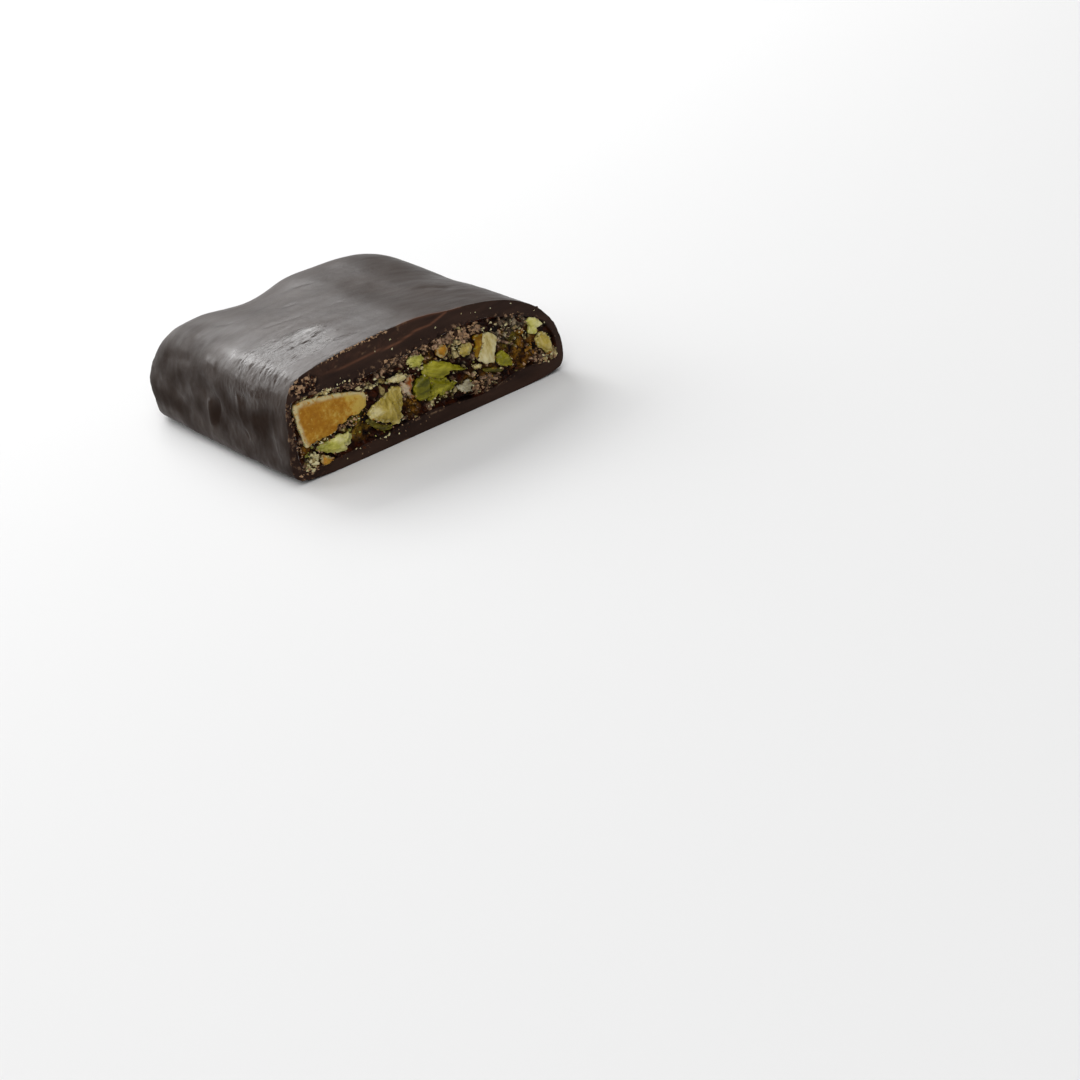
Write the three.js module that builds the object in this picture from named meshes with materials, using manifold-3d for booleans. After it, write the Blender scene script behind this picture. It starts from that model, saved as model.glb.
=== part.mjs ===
// Half of a filled chocolate bar, cut across, lying on its flat base.
// Millimetres, +Z up. X runs across the bar and Y from the cut face back to the
// bar's own rounded end. The origin is on the base, under the middle of the part.
//
// A thick dark coating wraps a layer of sticky nut filling on every side but the
// cut. The nuts and fruit that show at the cut are solids of their own, sunk in
// pockets of the filling and sliced flush with it.

import * as THREE from 'three';
import { mergeVertices } from 'three/addons/utils/BufferGeometryUtils.js';
import Module from 'manifold-3d';

const wasm = await Module();
wasm.setup();

// ---- driving dimensions ----

const HALF_WIDTH = 25.2;      // half the width of the cut face
const LENGTH = 52.8;          // cut face to far end
const CROWN = 17.8;           // highest line of the top, a little left of the middle
const CROWN_X = -1;           // where that line runs
const SIDE_SWELL = 0.6;       // how far each long side bellies out behind the cut

const FOOT = 16;              // half the width of the flat base
const HEEL = 0.8;             // height of the lower corners, where the base curves up
const HEEL_IN = 1.2;          // how far inside the side walls those corners lie
const HEEL_EASE = 3;          // how gently the base curves up to them

const LEFT_FOOT = 2.6;        // height where the left wall leaves the lower corner
const LEFT_TOP = 12.6;        // height where the left wall turns into the upper corner
const LEFT_LEAN = 1.6;        // how far the left wall leans in on the way up
const LEFT_BOW = 0.5;         // how far it bows out between the two
const LEFT_SHOULDER = { x: -19.5, z: 16.3 };   // where that corner meets the top

const RIGHT_FOOT = 4.4;       // height where the right side starts to round over
const RIGHT_SHOULDER = { x: 8, z: 16.7 };      // where the rounding meets the top

const END_REACH = 15;         // length over which the top falls away to the far end
const END_POWER = 2.5;        // how full that fall is: 2 is an ellipse
const END_CLOSE = 0.985;      // share of the fall used up where the end face starts
const END_LIFT = 2.6;         // how far the base turns up at the far end
const END_LIFT_REACH = 5;     // length over which it turns up
const END_CORNER = 6;         // radius of the far corners seen from above

const FILL_END = 3.4;         // thickness of chocolate behind the filling
const FILL_REACH = 10;        // length over which the filling rounds off at the back
const FILL_MIDDLE = 7;        // height towards which it rounds off

const ORANGE_DEPTH = 9;       // the large orange piece, from front to back
const ORANGE_ROUND = 0.8;     // how far its corners are rounded
const ORANGE_BEVEL = 0.4;     // and its back edge

const GAP = 0.3;              // clearance between neighbouring pieces
const PAST_CUT = 2;           // how far a cutting shape runs out past the cut face

// ---- fineness ----

const SKIN_STEPS = 24;        // sections along the outer skin
const SKIN_CURVE = 5;         // points on each curve of its outline
const FILL_STEPS = 9;         // sections along the filling
const FILL_OUTLINE = 40;      // points round the filling
const STRAIGHT_SHARE = 0.45;  // share of the sections before the rounded end
const LUMP_ROUND = 14;        // points round a nut
const LUMP_RINGS = 8;         // rings from its top to its bottom

// ---- finishes ----

const chocolate = finish(0x2c2320, 0.42);
const stickyFilling = finish(0x4a3018, 0.45);
const orangeFruit = finish(0xc07a24, 0.4);
const amberFruit = finish(0x9a5a24, 0.3);
const greenNut = finish(0x7f8220, 0.5);
const limeNut = finish(0xa3a548, 0.55);
const yellowNut = finish(0xc3b053, 0.5);
const creamNut = finish(0xcdbf98, 0.6);

function finish(color, roughness) {
  return new THREE.MeshStandardMaterial({ color, roughness, metalness: 0 });
}

// ---- solids and meshes ----

function toSolid(geometry) {
  const bare = geometry.clone();
  bare.deleteAttribute('normal');
  bare.deleteAttribute('uv');
  const merged = mergeVertices(bare, 1e-4);
  return new wasm.Manifold(new wasm.Mesh({
    numProp: 3,
    vertProperties: new Float32Array(merged.attributes.position.array),
    triVerts: new Uint32Array(merged.index.array),
  }));
}

function toMesh(name, solid, material) {
  const result = solid.getMesh();
  const points = new Float32Array(result.vertProperties);
  const corners = new Uint32Array(result.triVerts);
  const geometry = new THREE.BufferGeometry();
  geometry.setAttribute('position', new THREE.BufferAttribute(points, 3));
  geometry.setIndex(new THREE.BufferAttribute(corners, 1));
  geometry.computeVertexNormals();
  const mesh = new THREE.Mesh(geometry, material);
  mesh.name = name;
  return mesh;
}

// Moves every point of a geometry by a rule that turns (x, y, z) into a new point.
function reshape(geometry, rule) {
  const position = geometry.attributes.position;
  for (let i = 0; i < position.count; i += 1) {
    const [x, y, z] = rule(position.getX(i), position.getY(i), position.getZ(i));
    position.setXYZ(i, x, y, z);
  }
  return geometry;
}

// Sweeps an outline drawn in X and Z from y = start to y = end. The sections
// crowd together in the last stretch, where the end is rounded.
function sweep(shape, start, end, steps, curveSegments, endStretch) {
  const geometry = new THREE.ExtrudeGeometry(shape, {
    depth: 1,
    steps,
    curveSegments,
    bevelEnabled: false,
  });
  geometry.rotateX(Math.PI / 2);
  return reshape(geometry, (x, y, z) => [x, along(1 + y, start, end, endStretch), z]);
}

function along(share, start, end, endStretch) {
  const bend = end - endStretch;
  if (share <= STRAIGHT_SHARE) {
    return start + (bend - start) * (share / STRAIGHT_SHARE);
  }
  const turn = (share - STRAIGHT_SHARE) / (1 - STRAIGHT_SHARE);
  return bend + endStretch * Math.sin(turn * Math.PI / 2);
}

// Share of a section's height that is left at y, as the top rolls over the end.
function endHeight(y, end, reach) {
  const fall = Math.max(0, (y - (end - reach)) / reach) * END_CLOSE;
  return (1 - fall ** END_POWER) ** (1 / END_POWER);
}

// Share of a section's width that is left at y, as the far corners turn in.
function endWidth(y, end) {
  const turn = Math.max(0, y - (end - END_CORNER)) * END_CLOSE;
  return 1 - (END_CORNER - Math.sqrt(END_CORNER ** 2 - turn ** 2)) / HALF_WIDTH;
}

// ---- outer skin ----

// Low swells and hollows of the poured top, by their place and size.
const topRelief = [
  { x: 12, y: 43, rise: 1.1, acrossReach: 8, alongReach: 14 },    // hill at the far end
  { x: 19, y: 40, rise: 1.2, acrossReach: 5, alongReach: 12 },    // full right shoulder
  { x: -17, y: 43, rise: 0.5, acrossReach: 5, alongReach: 10 },   // hump at the far left
  { x: -7, y: 45, rise: -1.4, acrossReach: 7, alongReach: 14 },   // hollow beside it
  { x: 20, y: 23, rise: -0.4, acrossReach: 6, alongReach: 6 },    // saddle on the right
];

function relief(x, y) {
  return topRelief.reduce((sum, swell) => {
    const across = (x - swell.x) / swell.acrossReach;
    const lengthwise = (y - swell.y) / swell.alongReach;
    return sum + swell.rise * Math.exp(-across * across - lengthwise * lengthwise);
  }, 0);
}

// Outline of the cut face: flat base, round right shoulder, low arched top, tight
// upper left corner and a steep left wall.
function skinOutline() {
  const heel = HALF_WIDTH - HEEL_IN;
  const wallTop = -HALF_WIDTH + LEFT_LEAN;
  const shape = new THREE.Shape();
  shape.moveTo(-FOOT, 0);
  shape.lineTo(FOOT, 0);
  shape.quadraticCurveTo(heel - HEEL_EASE, 0, heel, HEEL);
  shape.quadraticCurveTo(HALF_WIDTH, 2 * HEEL, HALF_WIDTH, RIGHT_FOOT);
  shape.bezierCurveTo(HALF_WIDTH, 11, 19.5, 15.6, RIGHT_SHOULDER.x, RIGHT_SHOULDER.z);
  shape.bezierCurveTo(4, 17.1, CROWN_X + 3.5, CROWN, CROWN_X, CROWN);
  shape.bezierCurveTo(CROWN_X - 7, CROWN, -16, 16.7, LEFT_SHOULDER.x, LEFT_SHOULDER.z);
  shape.quadraticCurveTo(wallTop + 0.4, LEFT_SHOULDER.z - 0.3, wallTop, LEFT_TOP);
  shape.quadraticCurveTo(wallTop - LEFT_BOW, LEFT_TOP / 2, -HALF_WIDTH, LEFT_FOOT);
  shape.quadraticCurveTo(-HALF_WIDTH, 1.5 * HEEL, -heel, HEEL);
  shape.quadraticCurveTo(-heel + HEEL_EASE, 0, -FOOT, 0);
  return shape;
}

function endLift(y) {
  const turn = Math.max(0, y - (LENGTH - END_LIFT_REACH)) / END_LIFT_REACH;
  return END_LIFT * (1 - Math.sqrt(1 - turn * turn * END_CLOSE));
}

function makeSkin() {
  const swept = sweep(skinOutline(), 0, LENGTH, SKIN_STEPS, SKIN_CURVE, END_REACH);
  return toSolid(reshape(swept, (x, y, z) => {
    const level = z / CROWN;
    const lift = endLift(y);
    const squeeze = endHeight(y, LENGTH, END_REACH) - lift / CROWN;
    const belly = 1 + SIDE_SWELL / HALF_WIDTH * Math.sin(Math.PI * y / LENGTH);
    return [
      x * endWidth(y, LENGTH) * belly,
      y,
      lift + (z + relief(x, y) * level * level) * squeeze,
    ];
  }));
}

// ---- filling ----

// Outline of the filling at the cut, round from its lower left corner.
const fillCorners = [
  [-22.9, 2.2],
  [-12, 2.2],
  [0, 2.9],
  [9, 1.8],
  [17, 3.2],
  [23.4, 2.6],
  [24.0, 6.3],
  [21.4, 10.2],
  [13.4, 13.2],
  [7.5, 13.8],
  [-1.5, 12.9],
  [-12.5, 12.2],
  [-22.2, 13.0],
  [-23.3, 7.5],
];

function fillOutline(grow) {
  const corners = fillCorners.map(([x, z]) => new THREE.Vector3(x, z, 0));
  const ring = new THREE.CatmullRomCurve3(corners, true, 'catmullrom', 0.35);
  const points = [];
  for (let i = 0; i < FILL_OUTLINE; i += 1) {
    const share = i / FILL_OUTLINE;
    const point = ring.getPoint(share);
    const run = ring.getTangent(share);
    points.push(new THREE.Vector2(point.x + run.y * grow, point.y - run.x * grow));
  }
  return new THREE.Shape(points);
}

function makeFilling(start, grow) {
  const end = LENGTH - FILL_END + grow;
  const swept = sweep(fillOutline(grow), start, end, FILL_STEPS, 1, FILL_REACH);
  return toSolid(reshape(swept, (x, y, z) => {
    const high = FILL_MIDDLE + (z - FILL_MIDDLE) * endHeight(y, end, FILL_REACH);
    return [x * endWidth(y, end), y, high];
  }));
}

// ---- nuts and fruit at the cut ----

// A nut or a bit of fruit is an uneven lump cut through near its middle. It has
// half sizes across, tall and deep, gets boxier as square rises from 2, and leans
// to the left by tilt degrees. Its index varies the unevenness.
const UNEVEN = 0.07;
const SUNK = 0.6;             // how far behind the cut a lump's middle lies

const lumps = [
  {
    name: 'nut_pale', material: yellowNut,
    x: -7.6, z: 6.1, across: 3.0, tall: 2.7, deep: 4.5, tilt: 8, square: 3,
  },
  {
    name: 'pistachio_left', material: limeNut,
    x: -17.4, z: 4.05, across: 3.1, tall: 1.3, deep: 3.5, tilt: -4, square: 2.4,
  },
  {
    name: 'nut_cream_block', material: creamNut,
    x: 11.8, z: 8.7, across: 1.6, tall: 2.3, deep: 4, tilt: -20, square: 4,
  },
  {
    name: 'pistachio_low', material: greenNut,
    x: 14.8, z: 5.5, across: 1.2, tall: 1.4, deep: 2.5, tilt: -15, square: 2.4,
  },
  {
    name: 'nut_cream_end', material: limeNut,
    x: 20.2, z: 8.8, across: 1.2, tall: 1.2, deep: 2.5, tilt: -20, square: 3,
  },
  {
    name: 'nut_yellow_end', material: yellowNut,
    x: 21.7, z: 5.3, across: 1.1, tall: 1.9, deep: 3, tilt: 22, square: 3,
  },
  {
    name: 'nut_yellow_bit', material: yellowNut,
    x: 7.9, z: 10.4, across: 1.3, tall: 0.95, deep: 2.2, tilt: 12, square: 2.4,
  },
  {
    name: 'orange_fruit_bit', material: orangeFruit,
    x: 4.2, z: 11.4, across: 1.0, tall: 0.95, deep: 2, tilt: 10, square: 3,
  },
  {
    name: 'pistachio_top', material: limeNut,
    x: -0.9, z: 11.2, across: 1.5, tall: 0.9, deep: 2.4, tilt: 10, square: 2.4,
  },
  {
    name: 'nut_cream_flake', material: creamNut,
    x: -5.0, z: 10.2, across: 1.8, tall: 0.65, deep: 2.2, tilt: -4, square: 3,
  },
  {
    name: 'amber_fruit_bit', material: amberFruit,
    x: -3.1, z: 7.6, across: 0.8, tall: 1.4, deep: 2.4, tilt: -6, square: 2.4,
  },
  {
    name: 'nut_white', material: creamNut,
    x: 6.9, z: 4.0, across: 1.6, tall: 1.0, deep: 2.6, tilt: -14, square: 2.4,
  },
];

function makeLump({ x, z, across, tall, deep, tilt, square }, index, grow) {
  const ball = new THREE.SphereGeometry(1, LUMP_ROUND, LUMP_RINGS);
  reshape(ball, (i, j, k) => {
    const sum = Math.abs(i) ** square + Math.abs(j) ** square + Math.abs(k) ** square;
    const waves = Math.sin(3 * i + index) * Math.cos(3 * k - index) + Math.sin(2 * j + index);
    const radius = sum ** (-1 / square) * (1 + UNEVEN * waves);
    return [
      i * (radius * across + grow),
      j * (radius * deep + grow),
      k * (radius * tall + grow),
    ];
  });
  ball.rotateY(THREE.MathUtils.degToRad(-tilt));
  ball.translate(x, SUNK, z);
  return toSolid(ball);
}

// The large pistachio is a lump that ends in a flat point on its right.
const pistachioBody = { x: 1.3, z: 7.3, across: 3.4, tall: 2.5, deep: 4.5, tilt: 12, square: 2.3 };
const pistachioPoint = { x: 4.2, z: 8.3, across: 3.2, tall: 0.9, deep: 2.5, tilt: -22, square: 2 };

function makeLargePistachio(grow) {
  return makeLump(pistachioBody, 1, grow).add(makeLump(pistachioPoint, 2, grow));
}

// The large orange piece has flat sides and soft corners.
const orangeCorners = [
  [-22.0, 12.1],
  [-20.2, 12.4],
  [-12.2, 10.8],
  [-10.5, 9.4],
  [-12.2, 7.5],
  [-18.6, 6.1],
  [-22.0, 6.3],
];

// A closed outline through the corners, each rounded off over a set distance.
function softOutline(corners, round) {
  const points = corners.map(([x, z]) => new THREE.Vector2(x, z));
  const shape = new THREE.Shape();
  points.forEach((corner, i) => {
    const before = points[(i + points.length - 1) % points.length];
    const after = points[(i + 1) % points.length];
    const enter = before.clone().sub(corner).setLength(round).add(corner);
    const leave = after.clone().sub(corner).setLength(round).add(corner);
    if (i === 0) {
      shape.moveTo(enter.x, enter.y);
    } else {
      shape.lineTo(enter.x, enter.y);
    }
    shape.quadraticCurveTo(corner.x, corner.y, leave.x, leave.y);
  });
  return shape;
}

function makeLargeOrange(grow) {
  const block = new THREE.ExtrudeGeometry(softOutline(orangeCorners, ORANGE_ROUND), {
    depth: ORANGE_DEPTH,
    curveSegments: 3,
    bevelEnabled: true,
    bevelThickness: ORANGE_BEVEL,
    bevelSize: ORANGE_BEVEL + grow,
    bevelOffset: -ORANGE_BEVEL,
    bevelSegments: 3,
  });
  block.rotateX(Math.PI / 2);
  block.translate(0, ORANGE_DEPTH - PAST_CUT + grow, 0);
  return toSolid(block);
}

const pieces = [
  { name: 'orange_fruit_large', material: orangeFruit, make: makeLargeOrange },
  { name: 'pistachio_large', material: greenNut, make: makeLargePistachio },
  ...lumps.map((size, index) => ({
    name: size.name,
    material: size.material,
    make: (grow) => makeLump(size, index + 3, grow),
  })),
];

// ---- assembly ----

const behindCut = toSolid(
  new THREE.BoxGeometry(4 * HALF_WIDTH, LENGTH, 4 * CROWN).translate(0, LENGTH / 2, 0),
);
const coating = makeSkin().subtract(makeFilling(-PAST_CUT, GAP));

// Each piece is sliced at the cut, kept inside the filling, and given its pocket.
let filling = makeFilling(0, 0);
const pieceMeshes = pieces.map(({ name, material, make }) => {
  const sliced = make(0).intersect(behindCut).intersect(filling);
  filling = filling.subtract(make(GAP));
  return toMesh(name, sliced, material);
});

const group = new THREE.Group();
group.add(toMesh('coating', coating, chocolate));
group.add(toMesh('filling', filling, stickyFilling));
pieceMeshes.forEach((mesh) => group.add(mesh));

const box = new THREE.Box3().setFromObject(group);
const middle = box.getCenter(new THREE.Vector3());
group.position.set(-middle.x, -middle.y, -box.min.z);

export default group;
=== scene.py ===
"""Half of a filled chocolate bar, cut across and lying on its flat base with the cut in front.

Sizes are millimetres in the bar's own frame: x runs across the cut, y from the cut to the far
end, z up from the base.  A mesh is scaled to metres when it is finished.
"""

import math
import random

import bmesh
import bpy
from mathutils import Matrix, Vector, noise
from mathutils.geometry import intersect_point_line


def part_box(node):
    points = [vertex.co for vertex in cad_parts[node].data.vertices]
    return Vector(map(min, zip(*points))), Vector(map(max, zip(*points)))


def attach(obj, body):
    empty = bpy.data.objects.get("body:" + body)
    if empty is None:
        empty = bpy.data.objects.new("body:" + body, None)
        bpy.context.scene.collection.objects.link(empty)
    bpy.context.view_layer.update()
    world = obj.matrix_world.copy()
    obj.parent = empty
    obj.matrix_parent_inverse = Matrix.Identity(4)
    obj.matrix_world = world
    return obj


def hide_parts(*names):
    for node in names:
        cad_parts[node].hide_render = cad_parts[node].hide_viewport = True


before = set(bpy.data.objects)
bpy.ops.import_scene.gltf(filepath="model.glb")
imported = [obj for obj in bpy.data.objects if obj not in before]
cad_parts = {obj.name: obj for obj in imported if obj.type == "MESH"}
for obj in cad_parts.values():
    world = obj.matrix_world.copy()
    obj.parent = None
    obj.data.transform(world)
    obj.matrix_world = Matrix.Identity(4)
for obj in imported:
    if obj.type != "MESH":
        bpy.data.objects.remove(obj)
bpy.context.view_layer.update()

METRE = 1000.0                # millimetres
coating_low, coating_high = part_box("coating")
CUT = coating_low.y * METRE   # the cut face
LENGTH = (coating_high.y - coating_low.y) * METRE
CROWN = coating_high.z * METRE


# ---- camera, light and floor -----------------------------------------------------------------

CAMERA_PLACE = (-137.43, -296.35, 120.17)
CAMERA_RIGHT = (0.80625, -0.55756, -0.19768)
CAMERA_UP = (0.39420, 0.25721, 0.88230)
FOCAL_LENGTH = 70.0
SENSOR = 36.0


def stand_camera():
    data = bpy.data.cameras.new("camera")
    data.lens = FOCAL_LENGTH
    data.sensor_width = SENSOR
    data.clip_start = 0.01
    data.clip_end = 10.0
    right, up = Vector(CAMERA_RIGHT), Vector(CAMERA_UP)
    camera = bpy.data.objects.new("camera", data)
    camera.matrix_world = Matrix.Translation(Vector(CAMERA_PLACE) / METRE) @ Matrix(
        (right, up, right.cross(up))
    ).transposed().to_4x4()
    bpy.context.scene.collection.objects.link(camera)
    bpy.context.scene.camera = camera


# Softboxes: place, width and height in metres, and watts.
SOFTBOXES = {
    "softbox_behind": ((0.126, 0.641, 0.464), (0.46, 0.32), 3.5),
    "softbox_left": ((-0.33, 0.86, 0.39), (1.0, 0.42), 6.4),
    "softbox_low": ((0.25, 1.25, 0.24), (2.2, 0.40), 1.6),
    "softbox_above": ((0, 0, 1.5), (1.5, 1.5), 8),
    "softbox_front": ((-0.45, -0.85, 0.90), (0.80, 0.80), 7),
}
LIT_POINT = (0, 0, 0.01)      # the middle of the bar, in metres
ROOM_LIGHT = 0.12
FLOOR_REACH = 3.0             # metres from the floor's middle to its edges


def light_the_table():
    for name, (place, size, power) in SOFTBOXES.items():
        data = bpy.data.lights.new(name, "AREA")
        data.shape = "RECTANGLE"
        data.size, data.size_y = size
        data.energy = power
        lamp = bpy.data.objects.new(name, data)
        lamp.location = place
        lamp.rotation_euler = (Vector(LIT_POINT) - Vector(place)).to_track_quat("-Z", "Y").to_euler()
        bpy.context.scene.collection.objects.link(lamp)
    world = bpy.data.worlds.new("room")
    world.use_nodes = True
    world.node_tree.nodes["Background"].inputs["Color"].default_value = (1.0, 1.0, 1.0, 1.0)
    world.node_tree.nodes["Background"].inputs["Strength"].default_value = ROOM_LIGHT
    bpy.context.scene.world = world
    bpy.context.scene.view_settings.view_transform = "Standard"


def lay_floor():
    bm = bmesh.new()
    bmesh.ops.create_grid(bm, x_segments=1, y_segments=1, size=FLOOR_REACH)
    mesh = bpy.data.meshes.new("floor")
    bm.to_mesh(mesh)
    bm.free()
    floor = bpy.data.objects.new("floor", mesh)
    bpy.context.scene.collection.objects.link(floor)
    material = bpy.data.materials.new("floor_white")
    material.use_nodes = True
    shader = material.node_tree.nodes["Principled BSDF"]
    shader.inputs["Base Color"].default_value = (0.82, 0.82, 0.82, 1.0)
    shader.inputs["Roughness"].default_value = 0.9
    shader.inputs["Specular IOR Level"].default_value = 0.1
    mesh.materials.append(material)


# ---- finishes --------------------------------------------------------------------------------

class Finish:
    """A procedural material; its patterns are noise on the piece's own coordinates."""

    def __init__(self, name, gloss, soft=0.0, soft_reach=1.0, soft_colour=(1.0, 0.5, 0.2), shine=0.5):
        self.material = bpy.data.materials.new(name)
        self.material.use_nodes = True
        self.shader = self.material.node_tree.nodes["Principled BSDF"]
        self.shader.inputs["Roughness"].default_value = gloss
        self.shader.inputs["Specular IOR Level"].default_value = shine
        self.shader.inputs["Subsurface Weight"].default_value = soft
        self.shader.inputs["Subsurface Radius"].default_value = soft_colour
        self.shader.inputs["Subsurface Scale"].default_value = soft_reach / METRE

    def feed(self, socket, value):
        """Sets an input to a value, or links it to another node's output."""
        if isinstance(value, bpy.types.NodeSocket):
            self.material.node_tree.links.new(value, socket)
        else:
            socket.default_value = value

    def add(self, kind, inputs, **settings):
        """A new node with its settings and its inputs, each by its name or its number."""
        node = self.material.node_tree.nodes.new("ShaderNode" + kind)
        for name, value in settings.items():
            setattr(node, name, value)
        for key, value in inputs.items():
            self.feed(node.inputs[key], value)
        return node

    def grain(self, size, stretch=(1, 1, 1), detail=3.0, roughness=0.55, turn=0.0):
        """Noise with lumps of about size millimetres, longer by stretch along x, y and z."""
        place = self.add("Mapping", {
            "Vector": self.add("TexCoord", {}).outputs["Object"],
            "Rotation": (0, math.radians(turn), 0),
            "Scale": [METRE / size / longer for longer in stretch],
        }).outputs["Vector"]
        lumps = {"Vector": place, "Scale": 1.0, "Detail": detail, "Roughness": roughness}
        return self.add("TexNoise", lumps).outputs["Fac"]

    def mark(self, name, output="Fac"):
        """What the vertices of the piece's mesh carry under that name."""
        return self.add("Attribute", {}, attribute_name=name).outputs[output]

    def sharpened(self, value, low, high):
        """A value stretched so that low becomes 0 and high becomes 1."""
        stretch = {"Value": value, "From Min": low, "From Max": high}
        return self.add("MapRange", stretch).outputs["Result"]

    def times(self, a, b):
        return self.add("Math", {0: a, 1: b}, operation="MULTIPLY").outputs["Value"]

    def plus(self, total, *values):
        for value in values:
            total = self.add("Math", {0: total, 1: value}, operation="ADD").outputs["Value"]
        return total

    def tones(self, value, stops):
        """Colours along a value, as (place, (red, green, blue)) stops."""
        ramp = self.add("ValToRGB", {"Fac": value})
        elements = ramp.color_ramp.elements
        while len(elements) < len(stops):
            elements.new(0.5)
        for element, (place, colour) in zip(elements, stops):
            element.position = place
            element.color = (*colour, 1.0)
        return ramp.outputs["Color"]

    def over(self, below, above, share, blend="MIX"):
        """One colour laid over another, or blended with it, where share is 1."""
        if isinstance(above, tuple):
            above = (*above, 1.0)
        # A Mix node has its colours in the inputs 6 and 7 and in the output 2.
        node = self.add("Mix", {0: share, 6: below, 7: above}, data_type="RGBA", blend_type=blend)
        return node.outputs[2]

    def paint(self, colour):
        self.feed(self.shader.inputs["Base Color"], colour)

    def gloss_from(self, value):
        self.feed(self.shader.inputs["Roughness"], value)

    def emboss(self, *reliefs):
        """Fine relief: (value, height in millimetres) pairs, one on top of the other."""
        below = {}
        for value, height in reliefs:
            relief = {"Strength": 1.0, "Distance": height / METRE, "Height": value}
            below = {"Normal": self.add("Bump", relief | below).outputs["Normal"]}
        self.feed(self.shader.inputs["Normal"], below["Normal"])


def dark_chocolate():
    """Satin outside, duller and browner where it was cut, pale and crumbly where it tore; with a
    painted whitish highlight on the top, painted shade on the left wall and in the pits of the tears.
    """
    finish = Finish("dark_chocolate", 0.48, shine=0.12)
    cloudy = finish.grain(7.0, detail=4.0)
    brushed = finish.grain(1.6, (5, 1, 0.8), detail=4.0)
    ripples = finish.grain(0.6, (2.4, 1, 2.4), detail=4.0)
    crumbs = finish.grain(0.55, detail=5.0, roughness=0.65)
    streaks = finish.grain(3.0, (2.5, 1, 0.6), turn=25)
    wall, rubbed_and_highlight, cut, torn = (finish.mark(name) for name in ("wall", "rubbed_and_highlight", "cut", "torn"))
    skin = finish.tones(cloudy, [(0.35, (0.026, 0.0148, 0.0098)), (0.65, (0.041, 0.0265, 0.0192))])
    # Painted shade: the left wall's colour is darker and browner where the wall mark is.
    skin = finish.over(skin, (0.017, 0.0080, 0.0042), finish.times(wall, 0.8))
    # Painted highlight: a whitish colour laid over the polished hot spot, in its ripples.
    painted_highlight = finish.times(finish.sharpened(rubbed_and_highlight, 1.1, 2.4), finish.sharpened(ripples, 0.36, 0.62))
    skin = finish.over(skin, (0.42, 0.41, 0.40), finish.times(painted_highlight, 0.65))
    sliced = finish.tones(streaks, [(0.3, (0.019, 0.0086, 0.0056)), (0.7, (0.040, 0.0190, 0.0120))])
    colour = finish.over(skin, sliced, cut)
    colour = finish.over(colour, (0.150, 0.062, 0.034), finish.mark("seam"))
    # Torn chocolate: pale on its crumbs, and painted shade in its pits, by the same relief as the mesh.
    crumbly = finish.tones(finish.plus(crumbs, finish.mark("shade")), [
        (0.49, (0.007, 0.002, 0.001)),
        (0.57, (0.045, 0.018, 0.010)),
        (0.66, (0.430, 0.270, 0.155)),
    ])
    finish.paint(finish.over(colour, crumbly, torn))
    satin = finish.sharpened(finish.plus(cloudy, brushed), -0.6, 3.4)
    finish.gloss_from(finish.plus(
        satin, finish.times(wall, 0.26), finish.times(cut, 0.2), finish.times(rubbed_and_highlight, -0.15),
    ))
    finish.emboss(
        (finish.times(ripples, rubbed_and_highlight), 0.08),
        (brushed, 0.050),
        (finish.grain(0.5, detail=4.0), 0.018),
        (finish.times(crumbs, torn), 0.25),
    )
    return finish.material


def sticky_filling():
    """Dark fruit paste with nut meal in it: red-brown, amber and olive, glossy, and darker between the
    lumps as painted shade.
    """
    finish = Finish("sticky_filling", 0.26, soft=0.10, soft_reach=0.4, shine=0.07)
    fine = finish.grain(0.35, detail=4.0, roughness=0.6)
    shaded = finish.tones(fine, [(0.35, (0.40, 0.36, 0.34)), (0.62, (1.30, 1.25, 1.20))])
    finish.paint(finish.over(finish.mark("colour", "Color"), shaded, 1.0, "MULTIPLY"))
    finish.emboss((fine, 0.08), (finish.grain(0.15, detail=2.0), 0.02))
    return finish.material


def fruit(name, deep, middle, light, rim):
    """Candied fruit: soft, mottled, with a pale crust where the mesh is marked as rim."""
    finish = Finish(name, 0.42, soft=0.25, soft_reach=0.9, soft_colour=(1.0, 0.45, 0.12), shine=0.14)
    fine = finish.sharpened(finish.grain(0.7, detail=4.0, roughness=0.6), 0.05, 0.95)
    coarse = finish.grain(3.0, detail=3.0, roughness=0.5)
    mottle = finish.plus(coarse, finish.mark("shade"), fine, -0.5)
    flesh = finish.tones(mottle, [(0.30, deep), (0.52, middle), (0.74, light)])
    speck = finish.sharpened(finish.grain(0.6, detail=3.0), 0.62, 0.72)
    flesh = finish.over(flesh, light, finish.times(speck, 0.8))
    crust = finish.tones(finish.grain(0.6, detail=4.0), [(0.36, middle), (0.48, rim)])
    finish.paint(finish.over(flesh, crust, finish.mark("rim")))
    finish.emboss((finish.grain(0.9, detail=4.0), 0.20), (finish.grain(0.22, detail=2.0), 0.03))
    return finish.material


def kernel(name, deep, middle, light, size, stretch, turn, soft=0.2):
    """A nut kernel: streaked along its grain, paler at its broken rim."""
    finish = Finish(name, 0.33, soft=soft, soft_reach=0.7, soft_colour=(0.8, 0.7, 0.25), shine=0.22)
    streaks = finish.grain(size, stretch, detail=5.0, roughness=0.62, turn=turn)
    value = finish.plus(streaks, finish.mark("shade"))
    flesh = finish.tones(value, [(0.30, deep), (0.50, middle), (0.72, light)])
    crust = finish.sharpened(finish.grain(0.5, detail=3.0), 0.48, 0.60)
    finish.paint(finish.over(flesh, light, finish.times(crust, finish.mark("rim"))))
    finish.emboss((streaks, 0.08), (finish.grain(0.25, detail=2.0), 0.02))
    return finish.material


def meal(name, dark, light):
    """Crumbs, each with a tone of its own."""
    finish = Finish(name, 0.50, soft=0.10, soft_reach=0.3, shine=0.10)
    tone = finish.plus(finish.mark("tint"), finish.grain(0.3, detail=2.0))
    finish.paint(finish.tones(finish.sharpened(tone, 0.3, 1.3), [(0.0, dark), (1.0, light)]))
    return finish.material


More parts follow.
